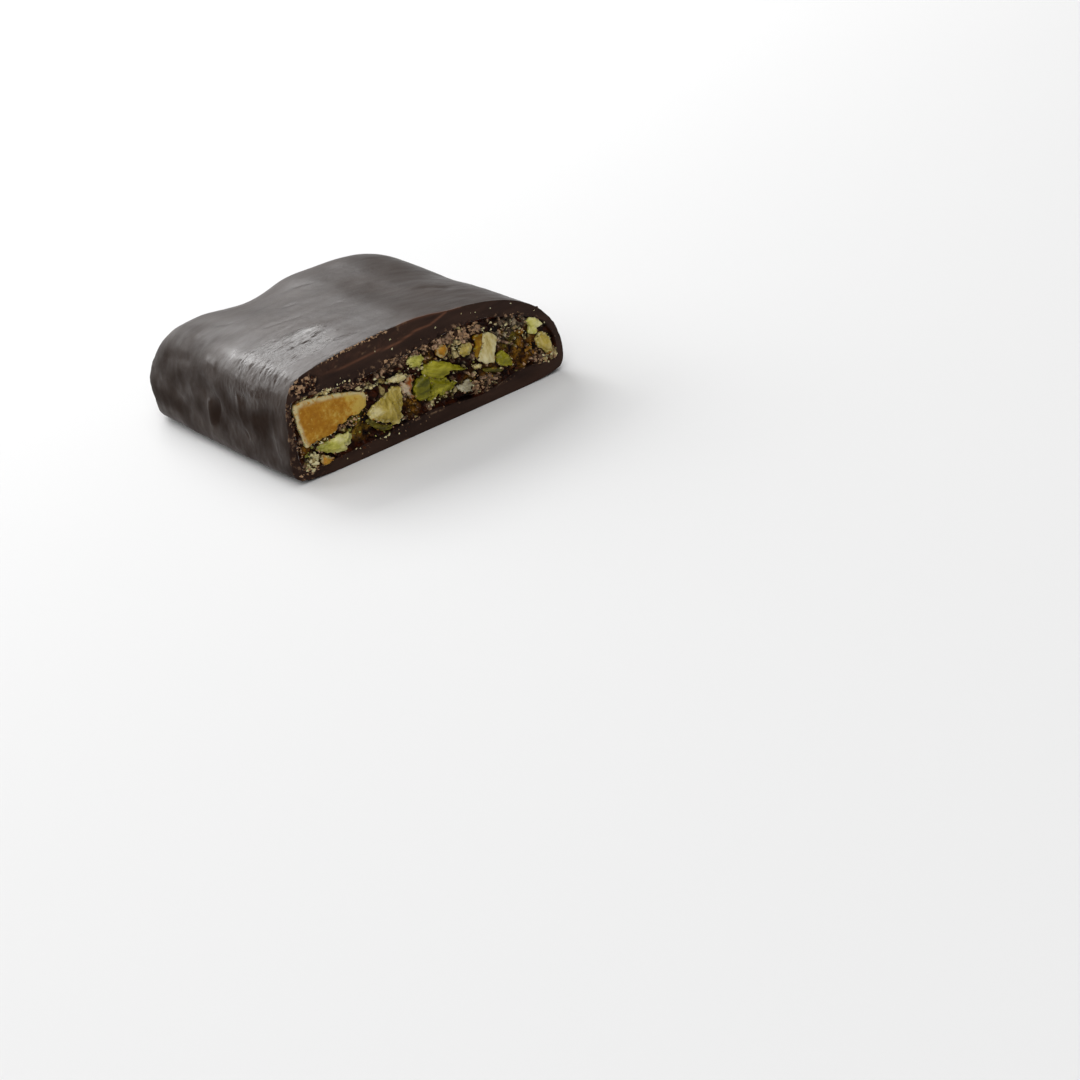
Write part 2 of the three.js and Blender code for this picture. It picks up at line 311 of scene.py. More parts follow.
# ---- outlines --------------------------------------------------------------------------------

BEND_STEPS = 24
CORNER_STEPS = 16


def limited(value, low=0.0, high=1.0):
    return max(low, min(high, value))


def bend_point(corners, share):
    """A point on the bend that its end points and handles draw."""
    while len(corners) > 1:
        corners = [a.lerp(b, share) for a, b in zip(corners, corners[1:])]
    return corners[0]


def drawn(bends):
    """A closed outline, from straight and curved stretches."""
    stretches = [[Vector(corner) for corner in bend] for bend in bends]
    return [bend_point(bend, k / BEND_STEPS) for bend in stretches for k in range(BEND_STEPS)]


def through(corners, tension):
    """A closed outline through its corners; a low tension keeps them sharp."""
    corners = [Vector(corner) for corner in corners]
    count = len(corners)
    outline = []
    for i, here in enumerate(corners):
        there = corners[(i + 1) % count]
        leave = (there - corners[i - 1]) * tension / 3
        enter = (corners[(i + 2) % count] - here) * tension / 3
        bend = [here, here + leave, there - enter, there]
        outline += [bend_point(bend, k / CORNER_STEPS) for k in range(CORNER_STEPS)]
    return outline


def spaced(outline, closeness):
    """The outline with its points spread again, closeness(point) of them to a millimetre."""
    runs = []
    total = 0.0
    for a, b in zip(outline, outline[1:] + outline[:1]):
        weight = (b - a).length * closeness((a + b) / 2)
        runs.append((total, weight, a, b))
        total += weight
    count = round(total)
    points = []
    k = 0
    for i in range(count):
        want = total * i / count
        while runs[k][0] + runs[k][1] <= want:
            k += 1
        start, weight, a, b = runs[k]
        points.append(a.lerp(b, (want - start) / weight))
    return points


def nearest_on(spine, point):
    """The point of a broken line that is nearest."""
    best = None
    for a, b in zip(spine, spine[1:]):
        a, b = Vector(a), Vector(b)
        share = limited((point - a).dot(b - a) / (b - a).length_squared)
        found = a.lerp(b, share)
        if best is None or (found - point).length < (best - point).length:
            best = found
    return best


def crossing(start, end, outline):
    """Where the line from start to end first crosses the outline."""
    run = end - start
    shares = [1.0]
    for a, b in zip(outline, outline[1:] + outline[:1]):
        side = b - a
        turn = run.x * side.y - run.y * side.x
        if abs(turn) > 1e-9:
            gap = a - start
            share = (gap.x * side.y - gap.y * side.x) / turn
            along = (gap.x * run.y - gap.y * run.x) / turn
            if 0 <= along <= 1 and 0 <= share:
                shares.append(share)
    return start.lerp(end, min(shares))


def inside(point, outline):
    crossings = 0
    for a, b in zip(outline, outline[1:] + outline[:1]):
        if (a.y > point.y) != (b.y > point.y):
            crossings += point.x < a.x + (b.x - a.x) * (point.y - a.y) / (b.y - a.y)
    return crossings % 2 == 1


# ---- making meshes ---------------------------------------------------------------------------

MARKS = ("cut", "torn", "seam", "rubbed_and_highlight", "wall", "rim", "shade")


def loft(rings):
    """A skin over rings of places.  Each vertex keeps the number of its ring in "row"."""
    bm = bmesh.new()
    number = bm.verts.layers.int.new("number")
    row = bm.verts.layers.int.new("row")
    for mark in MARKS:
        bm.verts.layers.float.new(mark)
    bm.verts.layers.float_color.new("colour")
    bmesh.ops.create_circle(bm, segments=len(rings[0]))
    bm.verts.ensure_lookup_table()
    for i, vert in enumerate(bm.verts):
        vert.co = rings[0][i]
        vert[number] = i
    edges = bm.edges[:]
    for k, places in enumerate(rings[1:], 1):
        grown = bmesh.ops.extrude_edge_only(bm, edges=edges)["geom"]
        fresh = {item for item in grown if isinstance(item, bmesh.types.BMVert)}
        for vert in fresh:
            vert.co = places[vert[number]]
            vert[row] = k
        edges = [e for e in grown if isinstance(e, bmesh.types.BMEdge) and fresh.issuperset(e.verts)]
    open_edges = [e for e in bm.edges if e.is_boundary]
    for k in (0, len(rings) - 1):
        rim = [e for e in open_edges if e.verts[0][row] == k]
        bmesh.ops.triangle_fill(bm, use_beauty=True, edges=rim)
    bmesh.ops.recalc_face_normals(bm, faces=bm.faces)
    return bm


def marks(bm, *names):
    """The layers that hold these marks of a lofted mesh."""
    return [bm.verts.layers.float[name] for name in names]


def carve(bm, height):
    """Raises each vertex along its normal, by height(place, vertex) in millimetres."""
    bm.normal_update()
    moves = [(vert, vert.normal * height(vert.co, vert)) for vert in bm.verts]
    for vert, move in moves:
        vert.co += move


def lumpy(place, size, seed=0):
    """Noise from -1 to 1 with lumps of about size millimetres."""
    return noise.noise(place / size + Vector((7.3, 3.1, 5.7)) * seed)


def uneven(place, *layers):
    """Relief from layers of lumps, each with its height, size and seed."""
    return sum(height * lumpy(place, size, seed) for height, size, seed in layers)


def bell(*gaps):
    """A soft bump: 1 in its middle, less as the gaps to it grow, each counted in its reach."""
    return math.exp(-sum(gap ** 2 for gap in gaps))


def smooth_step(value, low, high):
    """0 up to low, 1 from high on, and a soft step between them."""
    share = limited((value - low) / (high - low))
    return share * share * (3 - 2 * share)


def between(value, span, blur=1.0):
    """1 inside a span and 0 outside it, with soft ends that lie inside."""
    low, high = span
    return smooth_step(value, low, low + blur) * (1 - smooth_step(value, high - blur, high))


def hand_over(bm, name, material, nodes=(), smooth=True):
    """Turns a finished bmesh into a piece of the bar, in metres."""
    bmesh.ops.scale(bm, vec=(1 / METRE,) * 3, verts=bm.verts)
    for face in bm.faces:
        face.smooth = smooth
    mesh = bpy.data.meshes.new(name)
    bm.to_mesh(mesh)
    bm.free()
    mesh.materials.append(material)
    piece = bpy.data.objects.new(name, mesh)
    bpy.context.scene.collection.objects.link(piece)
    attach(piece, "root")
    if nodes:
        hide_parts(*nodes)


# ---- the form of the bar ---------------------------------------------------------------------

SKIN_BENDS = (
    ((-16, 0), (16, 0)),
    ((16, 0), (21, 0), (24, 0.8)),
    ((24, 0.8), (25.2, 1.6), (25.2, 4.4)),
    ((25.2, 4.4), (25.2, 11), (19.5, 15.6), (8, 16.7)),
    ((8, 16.7), (4, 17.1), (2.5, CROWN), (-1, CROWN)),
    ((-1, CROWN), (-8, CROWN), (-15, 17.2), (-19.2, 16.5)),
    ((-19.2, 16.5), (-22.6, 15.9), (-23.6, 12.4)),
    ((-23.6, 12.4), (-24.6, 7.0), (-25.2, 2.8)),
    ((-25.2, 2.8), (-25.2, 1.2), (-24, 0.8)),
    ((-24, 0.8), (-21, 0), (-16, 0)),
)
FILLING_CORNERS = (
    (-22.9, 2.2), (-12, 2.2), (0, 2.9), (9, 1.8), (17, 3.2), (23.4, 2.6), (24.0, 6.3),
    (21.4, 10.2), (13.4, 13.2), (7.5, 13.8), (-1.5, 12.9), (-12.5, 12.2), (-22.2, 13.0),
    (-23.3, 7.5),
)
FILLING_TENSION = 0.35
HALF_WIDTH = 25.2
SIDE_SWELL = 0.6
END_REACH = 15.0              # the top rolls over the far end in this length
END_POWER = 2.5
END_CORNER = 6.0              # radius of the far corners, seen from above
END_LIFT = 2.6                # the far end's edge lies this far above the base
END_LIFT_REACH = 5.0
END_CLOSE = 0.998
FILLING_STOP = 3.4            # chocolate behind the filling
FILLING_REACH = 10.0
FILLING_MIDDLE = 7.0
WALL_GAP = 0.05               # between the filling and the chocolate round it
END_SPINE = 15.0              # half the level line on which a flat end closes

# Swells and hollows of the top: x, distance behind the cut, rise, reach across and along.
TOP_SWELLS = (
    (12, 43, 1.1, 8, 14),
    (19, 40, 1.2, 5, 12),
    (-17, 43, 0.5, 5, 10),
    (-7, 45, -1.4, 7, 14),
    (20, 23, -0.4, 6, 6),
)


def on_cut(point, behind=0.0):
    """The place of a point of the cut, or one that lies that far behind it."""
    return Vector((point.x, CUT + behind, point.y))


def end_height(depth, end, reach):
    fall = max(0.0, (depth - (end - reach)) / reach) * END_CLOSE
    return (1 - fall ** END_POWER) ** (1 / END_POWER)


def end_width(depth, end):
    turn = max(0.0, depth - (end - END_CORNER)) * END_CLOSE
    return 1 - (END_CORNER - math.sqrt(END_CORNER ** 2 - turn ** 2)) / HALF_WIDTH


def top_relief(x, depth):
    return sum(
        rise * bell((x - at) / across, (depth - behind) / along)
        for at, behind, rise, across, along in TOP_SWELLS
    )


def skin_place(point, depth):
    """Where a point of the cut's outline lies on the skin, depth behind the cut."""
    x, z = point
    turn = max(0.0, depth - (LENGTH - END_LIFT_REACH)) / END_LIFT_REACH
    lift = END_LIFT * (1 - math.sqrt(1 - turn * turn * END_CLOSE))
    squeeze = end_height(depth, LENGTH, END_REACH) - lift / CROWN
    belly = 1 + SIDE_SWELL / HALF_WIDTH * math.sin(math.pi * depth / LENGTH)
    return Vector((
        x * end_width(depth, LENGTH) * belly,
        CUT + depth,
        lift + (z + top_relief(x, depth) * (z / CROWN) ** 2) * max(squeeze, 0.02),
    ))


def filling_place(point, depth, grow):
    """The same for the filling; grow makes room for the chocolate's inner wall."""
    x, z = point
    end = LENGTH - FILLING_STOP + grow
    high = FILLING_MIDDLE + (z - FILLING_MIDDLE) * end_height(depth, end, FILLING_REACH)
    return Vector((x * end_width(depth, end), CUT + depth, high))


def closing_rings(ring, middle):
    """Rings that draw a flat end together onto a level line at height middle."""
    return [
        [Vector((limited(p.x, -END_SPINE, END_SPINE), p.y, middle)).lerp(p, share) for p in ring]
        for share in (0.8, 0.5, 0.25, 0.08)
    ]


def end_stops(end, reach, count):
    """Distances behind the cut that lie closer and closer together towards a rounded end."""
    return [end - reach + reach * math.sin(math.pi / 2 * k / count) for k in range(count + 1)]


def skin_stops():
    """Distances behind the cut: close together near it and where the end rounds off."""
    stops = [FINE_STOP * k for k in range(round(FINE_REACH / FINE_STOP))]
    plain = LENGTH - END_REACH - FINE_REACH
    count = round(plain / COARSE_STOP)
    stops += [FINE_REACH + plain * k / count for k in range(count)]
    return stops + end_stops(LENGTH, END_REACH, round(END_REACH * 1.3 / COARSE_STOP))


# ---- the coating -----------------------------------------------------------------------------

# Grooves and ridges in the skin: both ends, width and rise.
SKIN_MARKS = (
    ((-13.2, -3.5, 17.0), (-8.8, -5.2, 17.4), 0.6, -0.14),
    ((-10.2, -20.9, 17.3), (-7.3, -21.9, 17.5), 0.32, -0.14),
    ((-6.9, 2.0, 17.3), (-5.6, 1.6, 17.4), 0.5, -0.12),
    ((-0.8, 8.9, 17.5), (0.7, 8.1, 17.6), 0.6, -0.12),
    ((-17.3, 7.3, 16.7), (-15.8, 5.8, 16.8), 0.6, -0.12),
    ((11.4, -11.3, 16.2), (13.6, -13.8, 15.8), 1.0, -0.16),
    ((-14.0, -13.3, 17.0), (-9.6, -13.3, 17.4), 1.8, 0.12),
    ((-16.5, -16.3, 16.9), (-10.0, -15.8, 17.4), 0.4, 0.05),
    ((-24.6, -3.5, 8.6), (-25.1, -2.4, 5.8), 1.1, -0.60),
    ((-24.7, -0.7, 8.4), (-25.2, -0.9, 5.0), 0.5, 0.34),
    ((-24.2, -11.1, 11.3), (-24.7, -12.2, 7.0), 0.5, 0.12),
    ((-24.1, -13.2, 11.0), (-24.5, -13.9, 7.5), 1.0, -0.16),
    ((-24.2, -22.3, 9.5), (-24.9, -22.6, 4.5), 0.4, 0.08),
    ((-24.7, -12.4, 6.4), (-25.0, -13.2, 5.3), 0.30, -0.32),
    ((-23.9, 15.0, 12.5), (-23.8, 6.8, 13.6), 1.0, -0.25),
    ((-24.3, 12.0, 9.0), (-25.2, 10.6, 6.0), 2.2, -0.14),
    ((-24.4, 3.4, 9.3), (-24.9, 2.8, 7.5), 1.8, -0.10),
    ((-23.4, -2.6, 14.5), (-23.4, -0.4, 14.8), 0.8, 0.28),
)
WRINKLES = (-15.5, 10.0)      # along y: their middle and their reach
# The unevenness of the whole skin, and what the left wall has on top: height, size and seed.
SKIN_LUMPS = ((0.13, 9, 0), (0.05, 3.2, 1), (0.012, 0.9, 2))
WALL_LUMPS = ((0.09, 1.6, 19), (0.05, 0.7, 20))
CUT_LUMPS = ((0.48, 0.9, 7), (0.22, 0.45, 8))    # where the cut is torn
MARK_REACH = 12               # no mark is felt farther than this from its start
HOT_SPOT = ((-11.6, -13.5), 3.0, 1.3)     # on the top: x and y, reach across and along
# The oval dent and the panel are painted darker on the left wall, as shade.
OVAL_DENT = ((-3.0, 7.2), 1.3, 1.9)       # on the left wall: y and z, reach along and up
SHADED_PANEL = ((-18.5, 9.0), 4.0, 2.6)    # on the left wall too
# Soft swells and hollows of the skin: middle, rise, reach along x, y and z.
SKIN_SWELLS = (
    ((-12, -12, 17), 0.30, (8, 8, 8)),
    ((-25, 20, 7.5), 0.95, (6, 9, 4.5)),
    ((-16, 21, 13.5), -0.60, (9, 8, 6)),
    ((-5, 24, 13), -0.50, (6, 8, 8)),
)
# The reddish line between two pours of chocolate, seen at the cut.
SEAM = (
    (-20.2, 15.5), (-12.6, 15.0), (-7.2, 15.3), (-3.7, 15.1), (0.2, 15.9), (2.9, 15.9), (6.1, 16.8),
)
SEAM_WIDTH = 0.16
CORNER_TEAR = ((-19.8, 14.7), 2.3, 1.4)   # x and z at the cut, reach across and up
CRUMBLY_RIM = (-18.0, -4.0)   # from x to x along the top edge of the cut
REDDISH_RIM = (-3.0, 9.5)
RIM_FOOT = 12                 # the top edge of the cut lies above this height
RIM_DEPTH = 0.7               # how far its marks reach back over the skin
FINE_REACH = 21.0             # rows lie close together this far behind the cut
FINE_STOP = 0.21
COARSE_STOP = 0.45
CUT_ROWS = 16
NOSE_ROWS = 20                # rows at the far end, where the top meets the underside
NOSE_ROUNDS = 12              # how often these are smoothed
CUT_SPINE = ((-15, 7.6), (15, 7.6))


def skin_closeness(point):
    """Points to a millimetre round the outline: few on the base, many on top and at the left."""
    if point.y < 1.2 and abs(point.x) < 22:
        return 0.7
    return 2.6 if point.x > 9 else 4.3


def rubbed_share(place):
    """Where fingers wrinkled the skin: the roll from the top to the left wall, near the cut."""
    middle, reach = WRINKLES
    near = bell((place.y - middle) / reach)
    return near * smooth_step(-place.x, 6, 12) * smooth_step(place.z, 8, 13)


def hot_share(place):
    """The polished top near the cut, where the colour also has a painted whitish highlight in streaks.
    """
    (x, y), across, along = HOT_SPOT
    return bell((place.x - x) / across, (place.y - y) / along)


def wall_dullness_and_shade(place):
    """How dull the left wall is, and how far painted shade darkens its colour: below the roll but less
    at the foot, more at a panel and in the oval dent, mottled, and over the far half of the left side.
    """
    low = smooth_step(-place.x, 20.5, 23.6) * (1 - smooth_step(place.z, 8.5, 15.0))
    low *= 0.6 + 0.4 * smooth_step(place.z, 1.5, 6.0)
    patches = sum(
        bell((place.y - y) / along, (place.z - z) / tall)
        for (y, z), along, tall in (SHADED_PANEL, OVAL_DENT)
    )
    mottled = lumpy(Vector((place.x, place.y * 0.8, place.z * 1.2)), 4.2, 17)
    far = 0.5 * smooth_step(place.y, -5, 4) * smooth_step(-place.x, 15, 20)
    return max(0.0, low * (0.82 + 1.8 * mottled + 1.2 * patches), far * (1 + mottled))


def skin_height(place):
    """How far the skin stands out at a place, in millimetres."""
    height = sum(
        rise * bell(*((here - at) / reach for here, at, reach in zip(place, middle, reaches)))
        for middle, rise, reaches in SKIN_SWELLS
    )
    height += uneven(place, *SKIN_LUMPS)
    wall = smooth_step(-place.x, 21.5, 23.4) * (1 - smooth_step(place.z, 10.5, 14.5))
    height += 0.30 * wall * lumpy(Vector((place.x, place.y, place.z * 1.3)), 5.0, 3)
    height += wall * uneven(place, *WALL_LUMPS)
    curl = 2.2 * lumpy(place, 5, 14)
    patchy = 0.4 + 1.2 * abs(lumpy(place, 2.4, 16))
    ripples = noise.noise(Vector((place.x / 1.0, (place.y + curl) / 0.50, place.z / 1.0)))
    scales = lumpy(place, 0.55, 24)
    wrinkled = rubbed_share(place) * (1 - 0.8 * hot_share(place)) * patchy
    height += wrinkled * (0.09 * ripples + 0.05 * scales)
    height += 0.03 * lumpy(Vector((place.x / 4, place.y, place.z)), 1.6, 15)
    for start, end, width, rise in SKIN_MARKS:
        start, end = Vector(start), Vector(end)
        if (place - start).length < MARK_REACH:
            foot = start.lerp(end, limited(intersect_point_line(place, start, end)[1]))
            height += rise * bell((place - foot).length / width)
    return height


def seam_share(point):
    return bell((nearest_on(SEAM, point) - point).length / SEAM_WIDTH)


def seam_strength(x):
    """The line is faint at its left end and comes and goes."""
    patchy = 0.95 + 0.5 * lumpy(Vector((x, 0.0, 0.0)), 1.8, 18)
    return limited(patchy) * smooth_step(x, -19.0, -10.0)


def above_seam(point):
    """The browner band between the line and the top edge."""
    above = smooth_step(point.y - nearest_on(SEAM, point).y, 0.0, 0.5)
    streaky = 0.4 + 2.2 * lumpy(Vector((point.x * 0.5, point.y * 1.6, 0.0)), 0.7, 23)
    return max(0.0, streaky) * above * between(point.x, (-19.0, -1.0), 2.0)


def tear_share(point):
    """How torn the cut chocolate is: the upper left corner, the left wall and the rim."""
    (x, z), across, tall = CORNER_TEAR
    corner = 1.25 - math.hypot((point.x - x) / across, (point.y - z) / tall)
    wall = 0.25 * smooth_step(-point.x, 22.4, 22.9) * (1 - smooth_step(point.y, 12.8, 13.8))
    foot = smooth_step(-point.x, 18.5, 21.5) * (1 - smooth_step(point.y, 1.6, 2.6))
    return limited(max(3 * corner, wall, 0.35 * foot))


def coating_rings():
    """Rings from the far end over the skin, the cut and the inner wall to its end.

    With them come the numbers of the first ring on the cut and of the first on the wall.
    """
    skin = spaced(drawn(SKIN_BENDS), skin_closeness)
    mouth_outline = through(FILLING_CORNERS, FILLING_TENSION)
    mouth = [crossing(nearest_on(CUT_SPINE, p), p, mouth_outline) for p in skin]
    last = [skin_place(p, LENGTH) for p in skin]
    middle = sum(p.z for p in last) / len(last)
    rings = closing_rings(last, middle)[::-1]
    rings += [[skin_place(p, depth) for p in skin] for depth in reversed(skin_stops()[1:])]
    skin_rows = len(rings)
    rings.append([skin_place(p, 0.08) for p in skin])
    for k in range(CUT_ROWS + 1):
        share = (k + 0.35) / (CUT_ROWS + 0.35)
        rings.append([on_cut(p.lerp(m, share)) for p, m in zip(skin, mouth)])
    cut_rows = len(rings)
    wall_stops = [0.15, 0.4, 0.8, 1.4, 2.2, 4, 8, 14, 20, 26, 32, 38]
    wall_stops += end_stops(LENGTH - FILLING_STOP + WALL_GAP, FILLING_REACH, 8)[1:]
    rings += [[filling_place(p, depth, WALL_GAP) for p in mouth] for depth in wall_stops]
    return rings + closing_rings(rings[-1], FILLING_MIDDLE), skin_rows, cut_rows


def make_coating(material):
    rings, skin_rows, cut_rows = coating_rings()
    bm = loft(rings)
    row = bm.verts.layers.int["row"]
    cut, torn, seam, shade = marks(bm, "cut", "torn", "seam", "shade")
    rubbed_and_highlight, wall = marks(bm, "rubbed_and_highlight", "wall")

    def height(place, vert):
        if vert[row] < skin_rows:
            # Wrinkled and polished skin; where this mark is highest, the colour also gets a painted
            # whitish highlight.
            vert[rubbed_and_highlight] = rubbed_share(place) + 1.5 * hot_share(place)
            vert[wall] = wall_dullness_and_shade(place)
            rim = math.exp(-(place.y - CUT) / 0.35)
            chip = rim * 0.10 * min(0.0, lumpy(place, 0.8, 4))
            if place.z > RIM_FOOT and place.y < CUT + RIM_DEPTH:
                edge = smooth_step(CUT + RIM_DEPTH - place.y, 0.0, 0.5)
                vert[torn] = 0.9 * edge * between(place.x, CRUMBLY_RIM)
                vert[seam] = 0.5 * edge * between(place.x, REDDISH_RIM)
            return skin_height(place) * smooth_step(place.z, 0.2, 3.0) + chip
        if vert[row] >= cut_rows:
            return 0.0
        point = place.xz
        vert[cut] = 1.0
        vert[seam] = max(0.9 * seam_share(point) * seam_strength(point.x), 0.10 * above_seam(point))
        outer = 1 - smooth_step(vert[row] - skin_rows, 0, 2.5)
        inner = smooth_step(vert[row] - skin_rows, CUT_ROWS - 4, CUT_ROWS)
        if place.z > RIM_FOOT:
            vert[seam] = max(vert[seam], 0.45 * outer * between(place.x, REDDISH_RIM))
            outer *= 0.25 + 0.75 * between(place.x, CRUMBLY_RIM)
        speckled = 0.75 * smooth_step(lumpy(place, 0.6, 5), -0.05, 0.3)
        vert[torn] = max(tear_share(point), speckled * max(outer, inner, 0.4 * above_seam(point)))
        flat = 0.035 * lumpy(place, 2.2, 6) + 0.05 * vert[seam]
        ragged = uneven(place, *CUT_LUMPS)
        # Painted shade: the torn colour follows this relief, darker in the pits and paler on the
        # crumbs.
        vert[shade] = 0.55 * ragged
        return (flat + ragged * vert[torn]) * smooth_step(place.z, 0.0, 0.6) - 0.05 * inner

    carve(bm, height)
    nose = [vert for vert in bm.verts if vert[row] < NOSE_ROWS]
    for _ in range(NOSE_ROUNDS):
        bmesh.ops.smooth_vert(
            bm, verts=nose, factor=0.5, use_axis_x=True, use_axis_y=True, use_axis_z=True
        )
    hand_over(bm, "chocolate_coating", material, ["coating"])


# ---- the filling -----------------------------------------------------------------------------

FILLING_SPINE = ((-18.5, 7.5), (19.0, 7.3))
FRONT_ROWS = 44
FRONT_CLOSENESS = 7.5         # points to a millimetre round the filling
PASTE_LUMP = 1.6
EDGE_SUNK = 0.02              # the filling's edge lies this far behind the cut
CHIP_SIZES = ((1.3, 0.25), (0.85, 0.6), (0.5, 1.0))    # of the meal, and how readily they show
CHIP_TONES = {
    "brown": ((0.0420, 0.0190, 0.0100), (0.4600, 0.3100, 0.2000)),
    "grey": ((0.0500, 0.0320, 0.0200), (0.4200, 0.3500, 0.2400)),
    "cream": ((0.2400, 0.1800, 0.0600), (0.6000, 0.5200, 0.2700)),
}
GEL_TONES = {
    "dark": ((0.0060, 0.0010, 0.0004), (0.0420, 0.0085, 0.0015)),
    "amber": ((0.0700, 0.0220, 0.0010), (0.3000, 0.1500, 0.0120)),
    "olive": ((0.0450, 0.0350, 0.0015), (0.2100, 0.1800, 0.0150)),
}
# Where meal lies in the paste: kind, x, z, half reach across and up, and how thickly.
MEAL_PATCHES = (
    ("brown", -9.5, 12.0, 6.0, 0.9, 0.9), ("cream", -16.5, 12.6, 5.0, 0.45, 0.9),
    ("cream", -9.0, 10.9, 2.4, 0.7, 0.75), ("brown", 1.0, 12.7, 8.0, 1.0, 1.0),
    ("brown", 8.4, 12.3, 3.0, 1.0, 1.0), ("grey", 16.5, 10.6, 3.2, 1.7, 0.9),
    ("cream", 17.4, 10.2, 2.6, 1.4, 0.35), ("cream", -21.8, 2.8, 1.2, 1.4, 0.4),
    ("brown", -22.9, 8.0, 0.6, 5.5, 0.3), ("brown", 20.4, 4.0, 1.8, 1.0, 0.5),
    ("cream", 22.6, 3.3, 1.6, 0.9, 0.8), ("brown", 10.2, 3.2, 2.8, 1.4, 0.85),
    ("cream", 9.6, 3.6, 2.6, 1.0, 0.25), ("brown", -3.5, 3.6, 5.0, 0.7, 0.2),
    ("cream", 2.4, 4.3, 3.2, 0.8, 0.35), ("cream", 6.2, 11.2, 0.9, 0.6, 0.8),
    ("cream", 5.6, 9.9, 3.0, 0.4, 0.5), ("brown", 0.0, 8.0, 24.0, 6.0, 0.08),
    ("cream", 0.0, 8.0, 24.0, 6.0, 0.03), ("grey", 6.0, 8.6, 3.0, 0.8, 0.15),
    ("grey", 21.6, 3.6, 2.2, 1.0, 0.5),
)
# Where the paste is a clear gel, amber or olive, in the same way.
GEL_PATCHES = (
    ("amber", -21.2, 4.2, 1.8, 2.0, 0.8), ("amber", 17.6, 6.2, 3.4, 3.0, 0.9),
    ("olive", -12.8, 5.8, 2.4, 1.8, 1.0),
    ("amber", -12.6, 4.4, 2.0, 1.4, 0.6), ("amber", 2.0, 11.0, 2.6, 1.0, 0.5),
    ("amber", 10.2, 5.2, 3.6, 1.2, 0.5), ("amber", -3.2, 5.2, 1.6, 2.0, 0.7),
    ("amber", 14.4, 8.8, 1.0, 2.4, 0.9), ("amber", 20.8, 4.6, 2.4, 1.4, 0.8),
    ("olive", 16.0, 8.6, 1.6, 1.6, 0.7), ("olive", -19.4, 4.6, 1.6, 1.2, 0.9),
    ("amber", -11.4, 9.8, 1.2, 1.4, 0.7), ("olive", 3.2, 4.6, 3.6, 1.0, 0.6),
)


def chance(place):
    """A number from 0 to 1 that only depends on the place."""
    return 0.5 + 0.5 * noise.cell(place)


def patch_share(point, patch):
    """How thickly a patch of meal or gel lies at a point."""
    _, x, z, across, tall, thick = patch
    reach = ((point.x - x) / across) ** 2 + ((point.y - z) / tall) ** 2
    return thick * (1 - smooth_step(reach, 0.5, 1.6))


def chip_kind(point, choice):
    """Which meal shows at a point, if any, for a choice from 0 to 1."""
    for patch in MEAL_PATCHES:
        share = patch_share(point, patch)
        if choice < share:
            return patch[0]
        if share < 1:
            choice = (choice - share) / (1 - share)
    return None


def shaded(tones, value):
    dark, light = (Vector(colour) for colour in tones)
    return dark.lerp(light, limited(value))


def gel_colour(point, place):
    cloud = 0.5 + 0.9 * lumpy(place, 1.7, 21) + 0.4 * lumpy(place, 0.6, 22)
    colour = shaded(GEL_TONES["dark"], cloud)
    for patch in GEL_PATCHES:
        share = patch_share(point, patch) * smooth_step(cloud, 0.1, 0.6)
        colour = colour.lerp(shaded(GEL_TONES[patch[0]], cloud - 0.2), share)
    return colour


def paste(point):
    """How far the paste stands in front of the cut at a point, and its colour there, with painted shade
    darkening it towards the crevices between chips and lumps.

    What a chip gets by chance comes from its middle, times another factor for each choice.
    """
    if on_a_nut(point):
        return -1.0, Vector(GEL_TONES["dark"][0])
    place = Vector((point.x, point.y, 2.0))
    place += Vector((lumpy(place, 0.9, 12), lumpy(place, 0.9, 13), 0.0)) * 0.35
    height = -0.24 + 0.30 * lumpy(place, 3.5, 11) + 0.12 * lumpy(place, 0.8, 9)
    clumps = smooth_step(lumpy(place, 1.5, 25), -0.30, 0.12)
    for size, ready in CHIP_SIZES:
        gaps, middles = noise.voronoi(place / size)
        middle = middles[0] * size
        ready *= 0.15 + 0.85 * clumps
        kind = chip_kind(middle.xy, chance(middles[0] * 13.7) / ready)
        if kind:
            tone = chance(middles[0] * 31.1)
            crevice = smooth_step(gaps[1] - gaps[0], 0.0, 0.25)
            height += 0.10 + 0.50 * (tone - 0.5) + 0.25 * crevice
            # Painted shade: a chip's colour darkens towards the crevices round it.
            return height, shaded(CHIP_TONES[kind], tone ** 1.8) * (0.12 + 0.88 * crevice)
    gaps, middles = noise.voronoi(place / PASTE_LUMP)
    crevice = smooth_step(gaps[1] - gaps[0], 0.0, 0.4)
    height += -0.25 + 0.45 * crevice * chance(middles[0] * 5.3)
    # Painted shade: the gel darkens towards the crevices between its lumps.
    return height, gel_colour(point, place) * (0.45 + 0.55 * crevice)


def make_filling(material):
    outline = spaced(through(FILLING_CORNERS, FILLING_TENSION), lambda point: FRONT_CLOSENESS)
    feet = [nearest_on(FILLING_SPINE, p) for p in outline]
    rings = []
    for k in range(FRONT_ROWS + 1):
        share = (k + 0.5) / (FRONT_ROWS + 0.5)
        rings.append([on_cut(foot.lerp(p, share)) for foot, p in zip(feet, outline)])
    wall_stops = [0.3, 0.8, 1.6, 3, 6, 12, 18, 24, 30, 36]
    wall_stops += end_stops(LENGTH - FILLING_STOP, FILLING_REACH, 8)[1:]
    rings += [[filling_place(p, depth, 0.0) for p in outline] for depth in wall_stops]
    rings += closing_rings(rings[-1], FILLING_MIDDLE)
    bm = loft(rings)
    row = bm.verts.layers.int["row"]
    colour = bm.verts.layers.float_color["colour"]
    for vert in bm.verts:
        if vert[row] <= FRONT_ROWS:
            height, tone = paste(vert.co.xz)
            vert[colour] = (*tone, 1.0)
            rim = smooth_step(vert[row], FRONT_ROWS - 5, FRONT_ROWS)
            vert.co.y -= height + (-EDGE_SUNK - height) * rim
    bmesh.ops.recalc_face_normals(bm, faces=bm.faces)
    hand_over(bm, "nut_filling_layer", material, ["filling"])


# ---- nuts and fruit at the cut ---------------------------------------------------------------

